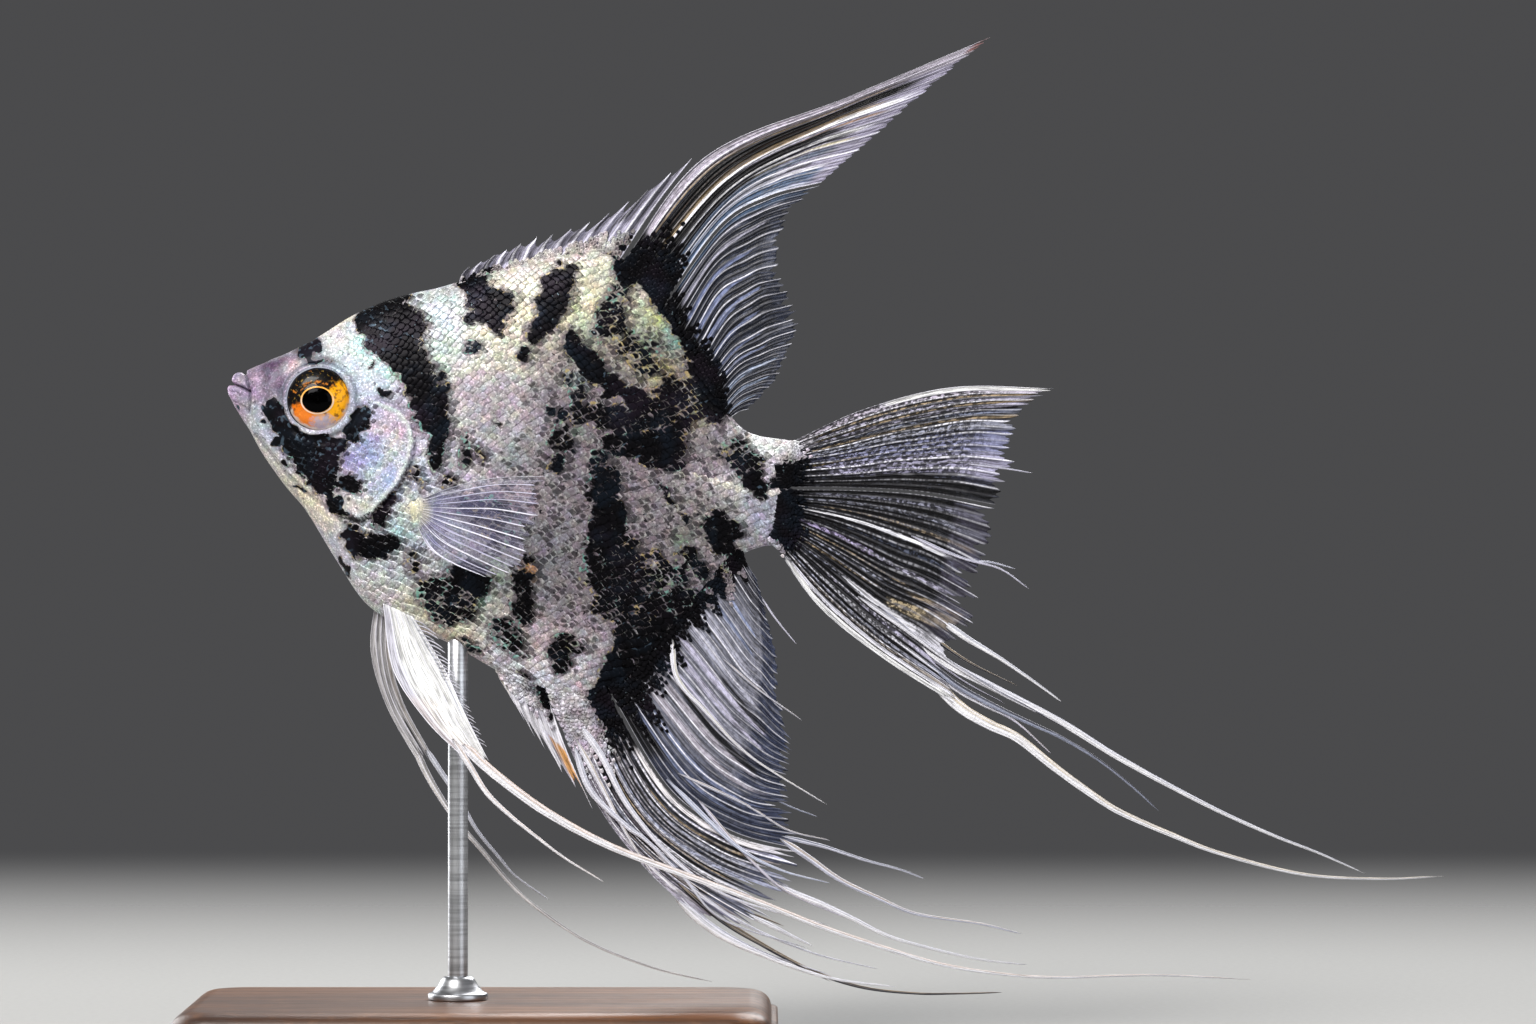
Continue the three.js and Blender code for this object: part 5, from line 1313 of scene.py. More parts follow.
add_fin(
    "dorsal_sail", [
        [(26.9, 110.3), (36.3, 123.5), (43.6, 128), (51.3, 130.1)],
        [(28.1, 108.6), (35.5, 119.4), (41.6, 123.6), (46.9, 125.8)],
        [(30, 105.5), (35.7, 114.5), (40.8, 117.8), (45.1, 119.5)],
        [(32, 102.5), (37.5, 110), (41.9, 113.2), (46.2, 114.8)],
        [(33.5, 100), (38.5, 105.5), (43, 108.1), (48.1, 110.4)],
        [(34.5, 97.5), (39.3, 102.5), (43.5, 104.4), (47.2, 105.9)],
        [(35.5, 94.5), (38.9, 98.5), (41.9, 100), (44.5, 100.6)],
        [(35.9, 92.5), (37.6, 95), (39.2, 96.2), (40.6, 96.6)],
    ], 17, 44, [
        (0.5, 0.1, 0.5, 1.1, 0.6, 0.6, (44, 50, 66), 0.8, 0.75),
        (0.02, 0.05, 0.02, 1, 0.02, 0.02, DENIM, 0.9, 0.8),
        *lobes((0.07, 0.15), (206, 204, 220), 0.08, 0.8, 0.02),
        *lobes((0.24, 0.33, 0.41), (160, 170, 208), 0.1, 0.72, 0.018),
        *lobes((0.5, 0.58, 0.66), (150, 160, 196), 0.12, 0.66, 0.015),
        *lobes((0.76, 0.84, 0.93), (176, 190, 216), 0.14, 0.8, 0.016),
        (0.5, 0.8, 0.5, 1.1, 0.6, 0.6, (66, 72, 92), 0.5, 0.8), (0.5, -0.1, 0.5, 0.12, 0.6, 0.6, INK, 1, 0.2),
    ], "clear_fin", (20, 22, 30), notch=0.07, jitter=0.035, root=0.45, seed=4, replaces=("dorsal_fin_rear",),
    clear=0.82, ripple=0.3, sharp=2.4, bead=0.35,
)

# %% [markdown]
# The anal fin mirrors the dorsal: a short saw of spines under a sheath of small scales, then long black and
# white rays that sweep back, and a sail of fine blue-grey rays up to the tail stalk.

# %% The anal fin
add_fin(
    "anal_spines", [
        [(2.4, 59.5), (3, 56.7), (3.9, 54.9)], [(5.5, 57.5), (6.9, 51.5), (9.8, 45.4)],
        [(9.9, 55), (13.3, 45.4), (17.3, 36.3)],
    ], 8, 40, [
        (0.5, 0, 0.5, 1.1, 0.6, 0.6, SNOW, 0.7, 1), (0.8, 0.5, 0.86, 1, 0.05, 0.03, LACE, 0.6, 1),
        (0.88, 0.52, 0.92, 0.86, 0.09, 0.07, (234, 178, 108), 0.95, 0.4),
        (0.1, 0, 0.1, 0.7, 0.1, 0.1, CREAM, 0.6, 1), (0.5, 0.2, 0.5, 0.4, 0.3, 0.3, (206, 200, 214), 0.5, 1),
    ], "dark_fin", BONE, notch=0.2, jitter=0.05, root=0.8, split=False, clear=0.96, seed=5,
    replaces=("anal_fin_spines",), ripple=0.05, thick=(0.55, 0.3), bead=0.2, gaps_dark=0.15,
)
add_fin(
    "anal_fan", [
        [(10.4, 54.4), (16.7, 39.4), (24.3, 28.6), (34, 19.2)],
        [(13, 54), (19.8, 37.9), (29.5, 27.8), (43.8, 19.2)],
        [(16.1, 54.4), (24.3, 37.9), (34, 29.7), (46.8, 24.4)],
        [(18.5, 55.6), (28.2, 39.6), (37.9, 32.8), (49.3, 29.8)],
    ], 11, 80, [
        (0.05, -0.1, 0.05, 1.1, 0.1, 0.12, (206, 200, 214), 0.9, 1),
        (0.07, 0.1, 0.08, 0.9, 0.012, 0.014, SNOW, 0.9, 1),
        (0.11, 0.15, 0.12, 0.9, 0.006, 0.008, SLATE, 0.8, 0.8),
        (0.155, 0.1, 0.15, 0.95, 0.012, 0.012, INK, 0.95, 0.3),
        (0.2, 0.16, 0.19, 1, 0.012, 0.018, LACE, 0.9, 1),
        (0.25, 0.2, 0.23, 1, 0.012, 0.014, (190, 176, 168), 0.9, 1),
        (0.31, 0.25, 0.29, 0.9, 0.008, 0.008, SAND, 0.9, 1),
        (0.37, 0.24, 0.36, 1, 0.016, 0.024, PEARL, 0.95, 1),
        (0.44, 0.3, 0.43, 1, 0.01, 0.012, (150, 140, 150), 0.9, 1),
        (0.49, 0.2, 0.48, 1, 0.016, 0.024, SNOW, 0.95, 1),
        (0.56, 0.28, 0.55, 0.8, 0.008, 0.008, SAND, 0.85, 1),
        (0.62, 0.16, 0.62, 1, 0.02, 0.03, (196, 200, 222), 0.95, 1),
        (0.69, 0.3, 0.68, 1, 0.008, 0.01, SLATE, 0.85, 1), (0.76, 0.24, 0.75, 1, 0.014, 0.022, PEARL, 0.9, 1),
        (0.84, 0.3, 0.84, 1, 0.01, 0.012, SAND, 0.85, 1), (0.9, 0.3, 0.91, 1, 0.01, 0.016, LACE, 0.8, 1),
        (0.97, -0.1, 0.965, 1.1, 0.026, 0.036, (240, 236, 240), 1, 1),
        (0.96, -0.1, 0.8, 0.2, 0.28, 0.24, INK, 1, 0.2),
        *lobes((0.6, 0.68, 0.76, 0.84, 0.92), (200, 196, 206), 0.05, 0.62, 0.013),
        (0.24, -0.1, 0.2, 0.36, 0.3, 0.14, (206, 200, 214), 0.95, 1),
        (0.5, 0.82, 0.5, 1.1, 0.5, 0.5, (150, 156, 186), 0.3, 1),
    ], "dark_fin", (22, 21, 24), notch=0.08, jitter=0.06, root=0.9, seed=6, replaces=("anal_fin_front",),
    clear=0.96, bead=0.6,
)
add_fin(
    "anal_sail", [
        [(18.8, 56.1), (28.5, 40), (38.1, 33.3), (49.3, 30.3)],
        [(20.9, 57.2), (31, 43.2), (39.3, 37.2), (47.5, 35.7)],
        [(23.4, 59.6), (33.3, 47.7), (40.5, 41.7), (46.8, 39.4)],
        [(26.3, 62.7), (35.5, 52.2), (41.5, 46.2), (47.1, 43.2)],
        [(29.3, 66), (37.5, 55.9), (42.6, 50.7), (47.1, 46.9)],
        [(32.2, 69.6), (39.3, 60.4), (43, 55.9), (45.3, 53.7)],
        [(34.6, 72.4), (40, 65), (43, 61.2), (44.9, 59.8)],
        [(36.8, 75.4), (40.5, 69.8), (42.3, 67.2), (43.4, 66.1)],
        [(38.5, 77.3), (40.3, 73.6), (41.1, 72.2), (41.9, 71)],
    ], 20, 56, [
        (0.5, 0.1, 0.5, 1.1, 0.6, 0.6, (78, 84, 106), 0.8, 0.62),
        (0.6, -0.05, 0.6, 0.62, 0.5, 0.4, (160, 160, 172), 0.7, 0.9),
        (0.08, -0.1, 0.06, 0.25, 0.12, 0.05, INK, 1, 0.3),
        *lobes((0.1, 0.16), (160, 170, 204), 0.12, 0.85, 0.012),
        *lobes((0.22, 0.28), (206, 200, 212), 0.06, 0.85, 0.02),
        *lobes((0.34, 0.4, 0.46), LACE, 0.03, 0.75, 0.02),
        *lobes((0.53, 0.6), (204, 204, 220), 0.02, 0.6, 0.022),
        *lobes((0.68, 0.76), (170, 180, 212), 0.02, 0.5, 0.018),
        (0.31, 0.2, 0.27, 0.9, 0.012, 0.016, INK, 0.9, 0.4),
        (0.48, 0.3, 0.45, 0.9, 0.012, 0.016, INK, 0.8, 0.5), (0.9, 0.1, 0.9, 1, 0.08, 0.08, SOOT, 0.7, 0.7),
        (0.5, 0.72, 0.5, 1.1, 0.6, 0.6, (62, 70, 96), 0.6, 0.7),
    ], "clear_fin", (30, 33, 46), notch=0.08, jitter=0.045, root=0.5, seed=7, replaces=("anal_fin_rear",),
    clear=0.86, ripple=0.3, sharp=2.2, bead=0.3,
)

# %% [markdown]
# The tail is a fan with two lobes. Its upper half is pale and clear in the middle, its lower half nearly
# black with beaded white rays, and the border between the two is jagged, where black cells stop short.

# %% The tail fin
add_fin(
    "tail_fan_upper", [
        [(45.4, 90.9), (58, 96.6), (71.5, 99.9), (86.5, 99.7)],
        [(45.5, 90), (58, 94.2), (70.8, 97.2), (84.3, 98.2)],
        [(45.6, 88.9), (58, 92), (70, 94.3), (81.3, 95)],
        [(45.6, 87.6), (57.3, 89.5), (69.3, 90.9), (81, 90.9)],
        [(45.6, 86.2), (57.3, 87.1), (68.5, 87.8), (79.8, 86.8)],
        [(45.6, 84.9), (56.5, 84.8), (67, 84.1), (77.7, 82.2)],
    ], 11, 70, [
        (0.22, -0.1, 0.2, 1.1, 0.24, 0.2, SOOT, 1, 0.8),
        (0.04, -0.1, 0.04, 1.1, 0.07, 0.07, (216, 208, 224), 1, 1),
        (0.03, 0.4, 0.03, 1.1, 0.03, 0.04, SNOW, 1, 1),
        (0.13, 0.08, 0.13, 0.95, 0.012, 0.012, SAND, 0.9, 0.7),
        (0.18, 0.12, 0.17, 1, 0.014, 0.02, LACE, 0.9, 1),
        (0.23, 0.08, 0.21, 1, 0.012, 0.014, SAND, 0.85, 0.8),
        (0.27, 0.12, 0.25, 1, 0.014, 0.02, LACE, 0.9, 1), (0.33, 0.1, 0.31, 1, 0.016, 0.014, FOG, 0.9, 0.9),
        (0.38, 0.08, 0.36, 1, 0.012, 0.012, SAND, 0.85, 0.8),
        (0.45, 0.1, 0.43, 1.05, 0.03, 0.035, PEARL, 0.9, 1),
        (0.52, 0.12, 0.5, 1.05, 0.02, 0.02, (148, 152, 190), 0.9, 1),
        (0.62, 0.2, 0.6, 1.1, 0.08, 0.1, (168, 170, 204), 0.95, 1),
        (0.74, 0.16, 0.75, 1.1, 0.08, 0.1, (194, 190, 216), 0.95, 1),
        (0.64, 0.05, 0.61, 0.4, 0.02, 0.012, HONEY, 0.7, 1), (0.76, 0, 0.78, 0.22, 0.1, 0.04, SOOT, 0.9, 0.7),
        (0.95, -0.1, 0.98, 1.1, 0.11, 0.08, INK, 1, 0.25), (0.87, 0.22, 0.88, 0.34, 0.03, 0.02, INK, 1, 0.1),
        (0.86, 0.4, 0.88, 0.54, 0.03, 0.03, INK, 1, 0.1), (0.87, 0.58, 0.9, 0.7, 0.03, 0.02, INK, 1, 0.1),
        (0.9, 0.72, 0.93, 0.95, 0.02, 0.02, INK, 1, 0.1), (0.62, -0.1, 0.56, 0.1, 0.36, 0.3, INK, 0.95, 0.4),
        (0.12, -0.1, 0.1, 0.14, 0.2, 0.16, BONE, 0.95, 1),
    ], "pale_fin", (60, 60, 76), notch=0.035, jitter=0.03, root=0.9, bead=0.9, seed=8,
    replaces=("tail_fin_upper",), clear=0.92,
)
add_fin(
    "tail_fan_lower", [
        [(45.6, 84.5), (56.5, 84.4), (67, 83.7), (77.5, 81.7)],
        [(45.6, 83.1), (56.5, 81.9), (66.3, 79.8), (76.8, 76.2)],
        [(45.5, 81.9), (55.8, 79.2), (65.5, 75.5), (75, 71)],
        [(45.4, 80.6), (55, 76.2), (64, 71.7), (75.6, 66.1)],
        [(45.2, 79.4), (54, 74), (62.5, 68.7), (73, 63.1)],
        [(44.9, 78.3), (52.8, 71.7), (61, 65), (70, 58.2)],
        [(44.5, 77.4), (51.6, 69.5), (60.3, 61.9), (71.2, 54.4)],
        [(44.2, 76.6), (51.1, 67), (60.9, 59.1), (71.9, 52.2)],
    ], 15, 76, [
        (0.4, -0.1, 0.4, 1.1, 0.55, 0.5, INK, 0.95, 0.3),
        (0.05, 0.15, 0.05, 1, 0.012, 0.012, (168, 168, 186), 0.9, 1),
        (0.11, 0.12, 0.12, 1, 0.01, 0.012, PEARL, 0.9, 1),
        (0.18, 0.2, 0.19, 0.95, 0.006, 0.008, SAND, 0.7, 1),
        (0.24, 0.08, 0.25, 0.85, 0.01, 0.012, SNOW, 0.95, 1),
        (0.3, 0.3, 0.31, 1, 0.012, 0.014, SLATE, 0.8, 1),
        (0.37, 0.06, 0.4, 0.5, 0.02, 0.012, (196, 184, 220), 0.95, 1),
        (0.4, 0.5, 0.42, 0.95, 0.01, 0.012, LACE, 0.8, 1),
        (0.45, 0.06, 0.48, 0.7, 0.008, 0.008, SAND, 0.8, 1),
        (0.52, 0.06, 0.53, 0.6, 0.008, 0.01, PEARL, 0.9, 1),
        (0.62, 0.64, 0.56, 0.95, 0.02, 0.04, (206, 190, 160), 0.95, 0.8),
        (0.52, 0.72, 0.5, 0.95, 0.014, 0.014, SAND, 0.8, 1),
        (0.59, 0.08, 0.58, 0.6, 0.008, 0.008, SAND, 0.9, 1),
        (0.66, 0.4, 0.67, 1.1, 0.012, 0.028, SNOW, 0.95, 1),
        (0.66, 0.08, 0.65, 0.4, 0.008, 0.008, PEARL, 0.9, 1),
        (0.72, 0.3, 0.74, 1.05, 0.008, 0.016, LACE, 0.85, 1),
        (0.77, 0.12, 0.78, 1.05, 0.008, 0.014, SNOW, 0.9, 1),
        (0.82, 0.1, 0.83, 1.05, 0.008, 0.014, PEARL, 0.85, 1),
        (0.86, 0.1, 0.87, 1.05, 0.01, 0.016, (214, 204, 196), 0.9, 1),
        (0.91, 0.1, 0.91, 1.1, 0.014, 0.026, SNOW, 0.9, 1), (0.97, -0.1, 0.97, 1.1, 0.035, 0.05, SNOW, 1, 1),
        (0.94, 0.3, 0.935, 0.9, 0.006, 0.007, INK, 0.9, 0.2),
        (0.3, 0.82, 0.3, 1.1, 0.35, 0.35, (98, 94, 112), 0.6, 1),
        (0.5, -0.1, 0.5, 0.09, 0.6, 0.5, INK, 1, 0.5),
    ], "dark_fin", SOOT, notch=0.045, jitter=0.04, root=0.9, bead=0.9, seed=9, replaces=("tail_fin_lower",),
    clear=0.94,
)

# %% [markdown]
# The pelvic fins are an angelfish's feelers: a pure white blade and then one long ray. The pectoral fins
# are the clear ones that row, so their skin lets the flank show through.

# %% The paired fins
add_fin(
    "pelvic_blade_left", [
        [(-14.1, 67.5), (-12.6, 57.8), (-7.5, 50.2), (-1.5, 44.4)],
        [(-11.8, 66.5), (-8.2, 57.4), (-3.8, 50), (0.6, 44)],
        [(-9.7, 65.5), (-4.9, 57.8), (-1.8, 51.5), (2.1, 43.9)],
    ], 7, 44, [
        (0.5, -0.1, 0.5, 1.1, 0.7, 0.7, (252, 252, 255), 1, 1), (0.1, 0, 0.1, 1, 0.1, 0.1, LACE, 0.5, 1),
        (0.2, 0.5, 0.3, 1.1, 0.3, 0.3, (236, 218, 206), 0.4, 1), (0.9, 0, 0.9, 0.7, 0.02, 0.02, FOG, 0.5, 1),
    ], "pale_fin", SNOW, notch=0.03, jitter=0.03, root=0.4, side=-1, seed=10, clear=0.97, bead=0,
    replaces=("pelvic_fin_left",), ripple=0.1,
)
add_fin(
    "pelvic_blade_right", [
        [(-15.3, 68.5), (-16.3, 60.4), (-14.1, 51.8), (-9, 42.4)],
        [(-14.2, 68), (-14.8, 60.1), (-12.8, 52), (-7.9, 42.8)],
        [(-13.2, 67.5), (-13.3, 59.7), (-11.5, 52.2), (-6.8, 43.3)],
    ], 5, 44, [
        (0.5, -0.1, 0.5, 1.1, 0.7, 0.7, (206, 204, 206), 1, 1),
        (0.85, 0.1, 0.8, 1, 0.12, 0.08, (176, 170, 164), 0.8, 1),
        (0.6, 0.75, 0.6, 1.1, 0.05, 0.1, INK, 0.8, 0.4),
    ], "pale_fin", FOG, notch=0.03, jitter=0.03, root=0.4, side=1, seed=11, clear=0.97, bead=0,
    replaces=("pelvic_fin_right",), ripple=0.1,
)
PECTORAL_GUIDES = [
    [(-0.6, 1.2), (4.9, 3.4), (11.6, 4.8), (19.1, 5)], [(-0.3, 0.6), (5.3, 1.2), (11.6, 1.6), (18.3, 0.8)],
    [(0, 0), (5.3, -1.4), (10.8, -2.9), (16.8, -4.8)], [(-0.1, -0.6), (4.1, -3.9), (9.4, -6.3), (15.2, -8.9)],
    [(-0.6, -1.2), (1.4, -5.4), (4.9, -7.8), (10.1, -9.9)],
]
for side, name in ((-1, "left"), (1, "right")):
    def from_socket(sheet, side=side):
        """Turns a flat fin out from the flank, at its socket."""
        flat = sheet[:, 0] / math.cos(PECTORAL_ANGLE)
        cos, sin = math.cos(side * PECTORAL_ANGLE), math.sin(side * PECTORAL_ANGLE)
        socket_x, socket_y, socket_z = PECTORAL_ROOT
        return np.stack([socket_x + cos * flat - sin * sheet[:, 1],
                         side * socket_y + sin * flat + cos * sheet[:, 1], socket_z + sheet[:, 2]], -1)

    add_fin(
        f"pectoral_web_{name}", PECTORAL_GUIDES, 13, 40, [
            (0.5, 0, 0.5, 1.1, 0.7, 0.7, (176, 174, 214), 1, 1),
            (0.03, 0, 0.03, 1, 0.07, 0.05, (214, 212, 236), 0.9, 1),
            (0.5, -0.1, 0.5, 0.12, 0.7, 0.7, (232, 228, 222), 0.9, 1),
            (0.5, 0.7, 0.5, 1.1, 0.7, 0.7, (190, 186, 206), 0.5, 1),
            (0.12, 0.3, 0.14, 0.5, 0.02, 0.02, SOOT, 0.6, 1),
        ], "clear_fin", LACE, notch=0.05, jitter=0.04, root=0.35, thick=(0.5, 0.18), seed=12, clear=0.12,
        place=from_socket, replaces=(f"pectoral_fin_{name}",), ripple=0.1, sharp=2.6, bead=0,
    )

# %% [markdown]
# ## The streamers
#
# In a veil angelfish the outer rays of the tail, anal and pelvic fins grow on past the margin as long
# threads. Each is two or three rays that run side by side and part near the end. A curve with a round
# bevel would be a wire. Here each is a flat ribbon with ridges, wide at its root, that thins to a hair.

# %% Ribbons
STREAMER_THICKNESS = 0.5
PALE_SUM, DARK_SUM = 500, 200  # red, green and blue added up, above and below which a ribbon is pale or dark


def ribbon(path, width, tip=0.22, side=0, drift=0.0, shift=0.0, steps_per_mm=1.1, ridges=2):
    """Points of one ribbon, ring by ring, and the numbers that its finish reads."""
    path = np.array(path, float)
    length = np.linalg.norm(np.diff(path, axis=0), axis=1).sum()
    steps = max(int(length * steps_per_mm), 8)
    t = np.linspace(0, 1, steps)
    xz = through(path, t)
    heading = np.gradient(xz, axis=0)
    heading /= np.linalg.norm(heading, axis=1, keepdims=True)
    spin = np.linspace(0, 2 * math.pi, 16, endpoint=False)
    lobe = np.cos(spin)
    half = ((width + (tip - width) * t**0.85) / 2)[:, None]
    half = half * ((1 - 0.85 * ramp(t, 0.965, 1)) * (0.25 + 0.75 * ramp(t * length, -0.5, 3.5)))[:, None]
    ridge = 0.72 + 0.28 * np.cos(lobe * math.pi * ridges)
    thick = np.minimum(half, STREAMER_THICKNESS / 2 * (1 - 0.4 * t[:, None])) * ridge[None]
    edge = half * lobe[None]
    face = thick * np.sin(spin)[None]
    across = across_at(side, xz[:, 0], xz[:, 1], np.ones(steps)) + drift * t**2 + shift
    x = xz[:, :1] - heading[:, 1:] * edge
    z = xz[:, 1:] + heading[:, :1] * edge
    points = np.stack([x, across[:, None] + face, z], -1)
    return points, t, lobe, ridge, length


def add_ribbons(name, ribbons, slot, replaces=()):
    """One piece of ribbons, each with a shape, a colour, and the colour and share of its edge."""
    groups, faces, base = [], [], 0
    tint_all, glow_all, ray_all, lie_all, bake_all = [], [], [], [], []
    for number, (shape, colour, edge_colour, edge_share) in enumerate(ribbons):
        points, t, lobe, ridge, length = ribbon(**shape)
        rows, columns = points.shape[:2]
        quads, row, column = grid_faces(rows, columns, closed=True)
        ends = [list(range(columns)), [(rows - 1) * columns + k for k in reversed(range(columns))]]
        faces += [[k + base for k in face] for face in [*quads[:, ::-1].tolist(), *ends]]
        base += rows * columns
        groups.append(points.reshape(-1, 3))
        across, along = np.tile(lobe, rows), np.repeat(t, columns)
        streak = 0.35 * wobble(across * 3, along * length / 4, 2.2, 300 + number)
        cover = edge_share * ramp(across + streak, 0.1, 0.45)
        tint_all.append(lay(np.tile(linear(*colour), (len(cover), 1)), edge_colour, cover))
        light = 1 if sum(colour) > PALE_SUM else 0.25
        dark_edge = sum(edge_colour) < DARK_SUM
        glow_all.append(light * (1 - cover) + 0.3 * cover if dark_edge else np.full(len(cover), light))
        ray_all.append(np.tile(ridge, rows))
        lie = np.stack([lobe[column % columns] * 1.5 + number * 7.3, t[row] * length / RAY_SEGMENT], -1)
        low, size = number / len(ribbons), 0.94 / len(ribbons)
        bake = np.stack([0.01 + 0.98 * t[row], low + 0.01 + size * column / columns], -1)
        for mapped, store in ((lie, lie_all), (bake, bake_all)):
            store.append(mapped[:, ::-1].reshape(-1, 2))
            store.append(np.tile(mapped[0, 0], (columns, 1)))
            store.append(np.tile(mapped[-1, 1], (columns, 1)))
    painted = {
        "tint": np.concatenate(tint_all), "glow": np.concatenate(glow_all),
        "ray": np.concatenate(ray_all), "clear": np.ones(base), "bead": np.zeros(base),
    }
    maps = {"OFBake": np.concatenate(bake_all), "lie": np.concatenate(lie_all)}
    return add_piece(name, np.concatenate(groups), faces, web_finish, slot, replaces, painted, maps)


def thread(path, width, colour=SNOW, edge=PEARL, share=0.6, **more):
    """A ribbon's shape and colours, as add_ribbons takes them."""
    return dict(path=path, width=width, **more), colour, edge, share


print("ribbon tools ready")

# %% The streamers
MILK, BLUSH = (253, 252, 255), (232, 208, 190)
STREAMERS = {
    "tail_streamer_long": (thread([
        (68, 56.2), (72.3, 51.9), (76.6, 49.3), (81, 47.2), (86.8, 42.6), (92.2, 38.7), (96.5, 36),
        (104, 32.7), (111.5, 29.8), (123.9, 26.6), (135.6, 25.8), (145.6, 26.1)], 1.9, MILK, (222, 206, 176),
        0.8, ridges=3), "pale_fin"),
    "tail_streamer_second": (thread([
        (66.5, 61.4), (70.8, 58.2), (76.6, 55.2), (87.5, 49.6), (95.4, 44.7), (103.5, 40.2), (111.5, 36.1),
        (119.5, 32.5), (126.4, 29.8), (133.4, 26.7)], 1.5, MILK, PEARL, 0.6, drift=-1.5, ridges=3),
        "pale_fin"),
    "tail_streamer_third": (thread([
        (67.5, 58.6), (71.9, 55.1), (77.5, 52), (83, 49.4), (87.5, 47.3), (93.3, 43.8), (98.1, 40),
        (102.4, 36.1)], 1.1, FOG, SOOT, 0.9, drift=2.5), "dark_fin"),
    "tail_streamer_short": (thread([
        (67.5, 66.4), (72.9, 62.5), (76, 60.6), (78.9, 58.8), (83.7, 55.5), (87.5, 52.7)], 1.2, MILK, FOG,
        0.6, drift=-1), "dark_fin"),
    "anal_streamer_lowest": (thread([
        (29.8, 23), (34.4, 19), (38.5, 16.6), (42, 15.1), (48, 12.8), (54, 11.2), (62.7, 10.2)], 1.4, MILK,
        PEARL, 0.5, drift=-4), "pale_fin"),
    "anal_streamer_dark": (thread([
        (35.5, 20.6), (39.6, 18.1), (45, 14.9), (51, 11.9), (58, 9.7), (65.8, 8.8), (71.7, 8.7), (78.7, 8.8)],
        0.9, SOOT, SAND, 0.5, drift=3), "dark_fin"),
    "anal_streamer_short": (thread([
        (40, 21), (44.2, 19), (47.2, 17.5), (50.3, 16)], 1, MILK, PEARL, 0.5), "pale_fin"),
    "anal_streamer_middle": (thread([
        (43, 26.3), (47.2, 24.1), (51.5, 22.4), (56.2, 20.2), (61, 17.8), (65.8, 16.3), (74.7, 14.2),
        (82.4, 13.3)], 1.1, MILK, PEARL, 0.5, drift=-2, ridges=3), "pale_fin"),
    "anal_streamer_long": (thread([
        (45.3, 32.2), (49.7, 29.2), (54.4, 25.9), (60.1, 23.2), (65.8, 20.8), (75.3, 19.3), (81.7, 17.7)],
        1.1, PEARL, SAND, 0.7, drift=1.5), "pale_fin"),
    "anal_streamer_upper": (thread([
        (45.4, 32.6), (49.4, 31.6), (52.5, 30.8), (58.2, 28.9), (63.1, 27.6), (66.9, 26.2)], 0.8, PEARL,
        SLATE, 0.7, drift=-1), "clear_fin"),
    "pelvic_streamer_left_long": (thread([
        (-1.8, 46.6), (1.9, 43), (8.2, 38.1), (13.3, 34.9), (18.4, 32.2), (24, 29.8), (33.3, 26.4),
        (42, 23.2), (51, 19.6), (59.8, 16.6), (68.8, 13.9), (77.7, 12.4), (86.5, 11.8), (101.4, 12.1),
        (115.4, 11.4)], 1.6, MILK, BLUSH, 0.8, side=-1, drift=3, ridges=3), "pale_fin"),
    "pelvic_streamer_left_short": (thread([
        (-3.4, 47.4), (-0.9, 43.5), (1.7, 39.4), (5, 36.2), (9, 33), (13.3, 29.8), (19.1, 26.3)], 1.1, MILK,
        BLUSH, 0.6, side=-1, drift=-2), "pale_fin"),
    "pelvic_streamer_right_long": (thread([
        (-10, 45.6), (-8.3, 41.9), (-6.3, 38.4), (-3.4, 34.2), (0.4, 29.8), (4.3, 25.2), (8.2, 21.6),
        (16.1, 16.3), (25.9, 12.4), (35.1, 10.2)], 1.2, (222, 218, 214), SOOT, 0.6, side=1, drift=-2),
        "pale_fin"),
    "pelvic_streamer_right_short": (thread([
        (-8.4, 45.6), (-6.5, 42.6), (-3.2, 37.6), (-0.6, 33), (3.2, 28.3), (5.3, 25.9), (10.2, 22.4)], 1,
        (210, 214, 224), PEARL, 0.4, side=1, drift=2), "pale_fin"),
}
for name, (shape, slot) in STREAMERS.items():
    add_ribbons(f"{name}_thread", [shape], slot, (name,))

# %% [markdown]
# On a real fish the scales don't stop where a fin begins. They climb onto its base, smaller and smaller,
# and hide the joint between flesh and rays. Without them a fin looks stuck on. So the base of each middle
# fin carries a few rows of its own little plates, black or silver as the flank below it.

# %% Scales that climb onto the fins
ROOT_SCALES_END = 0.4  # no plate lies further up a fin than this share of its length
FIN_HALF_THICKNESS = 0.5
PLATE_SIDE = 5  # points along and across one plate
PLATE_A, PLATE_O = np.meshgrid(np.linspace(0, 1, PLATE_SIDE), np.linspace(-1, 1, PLATE_SIDE), indexing="ij")
PLATE_EDGE = outer_points(PLATE_SIDE, PLATE_SIDE)


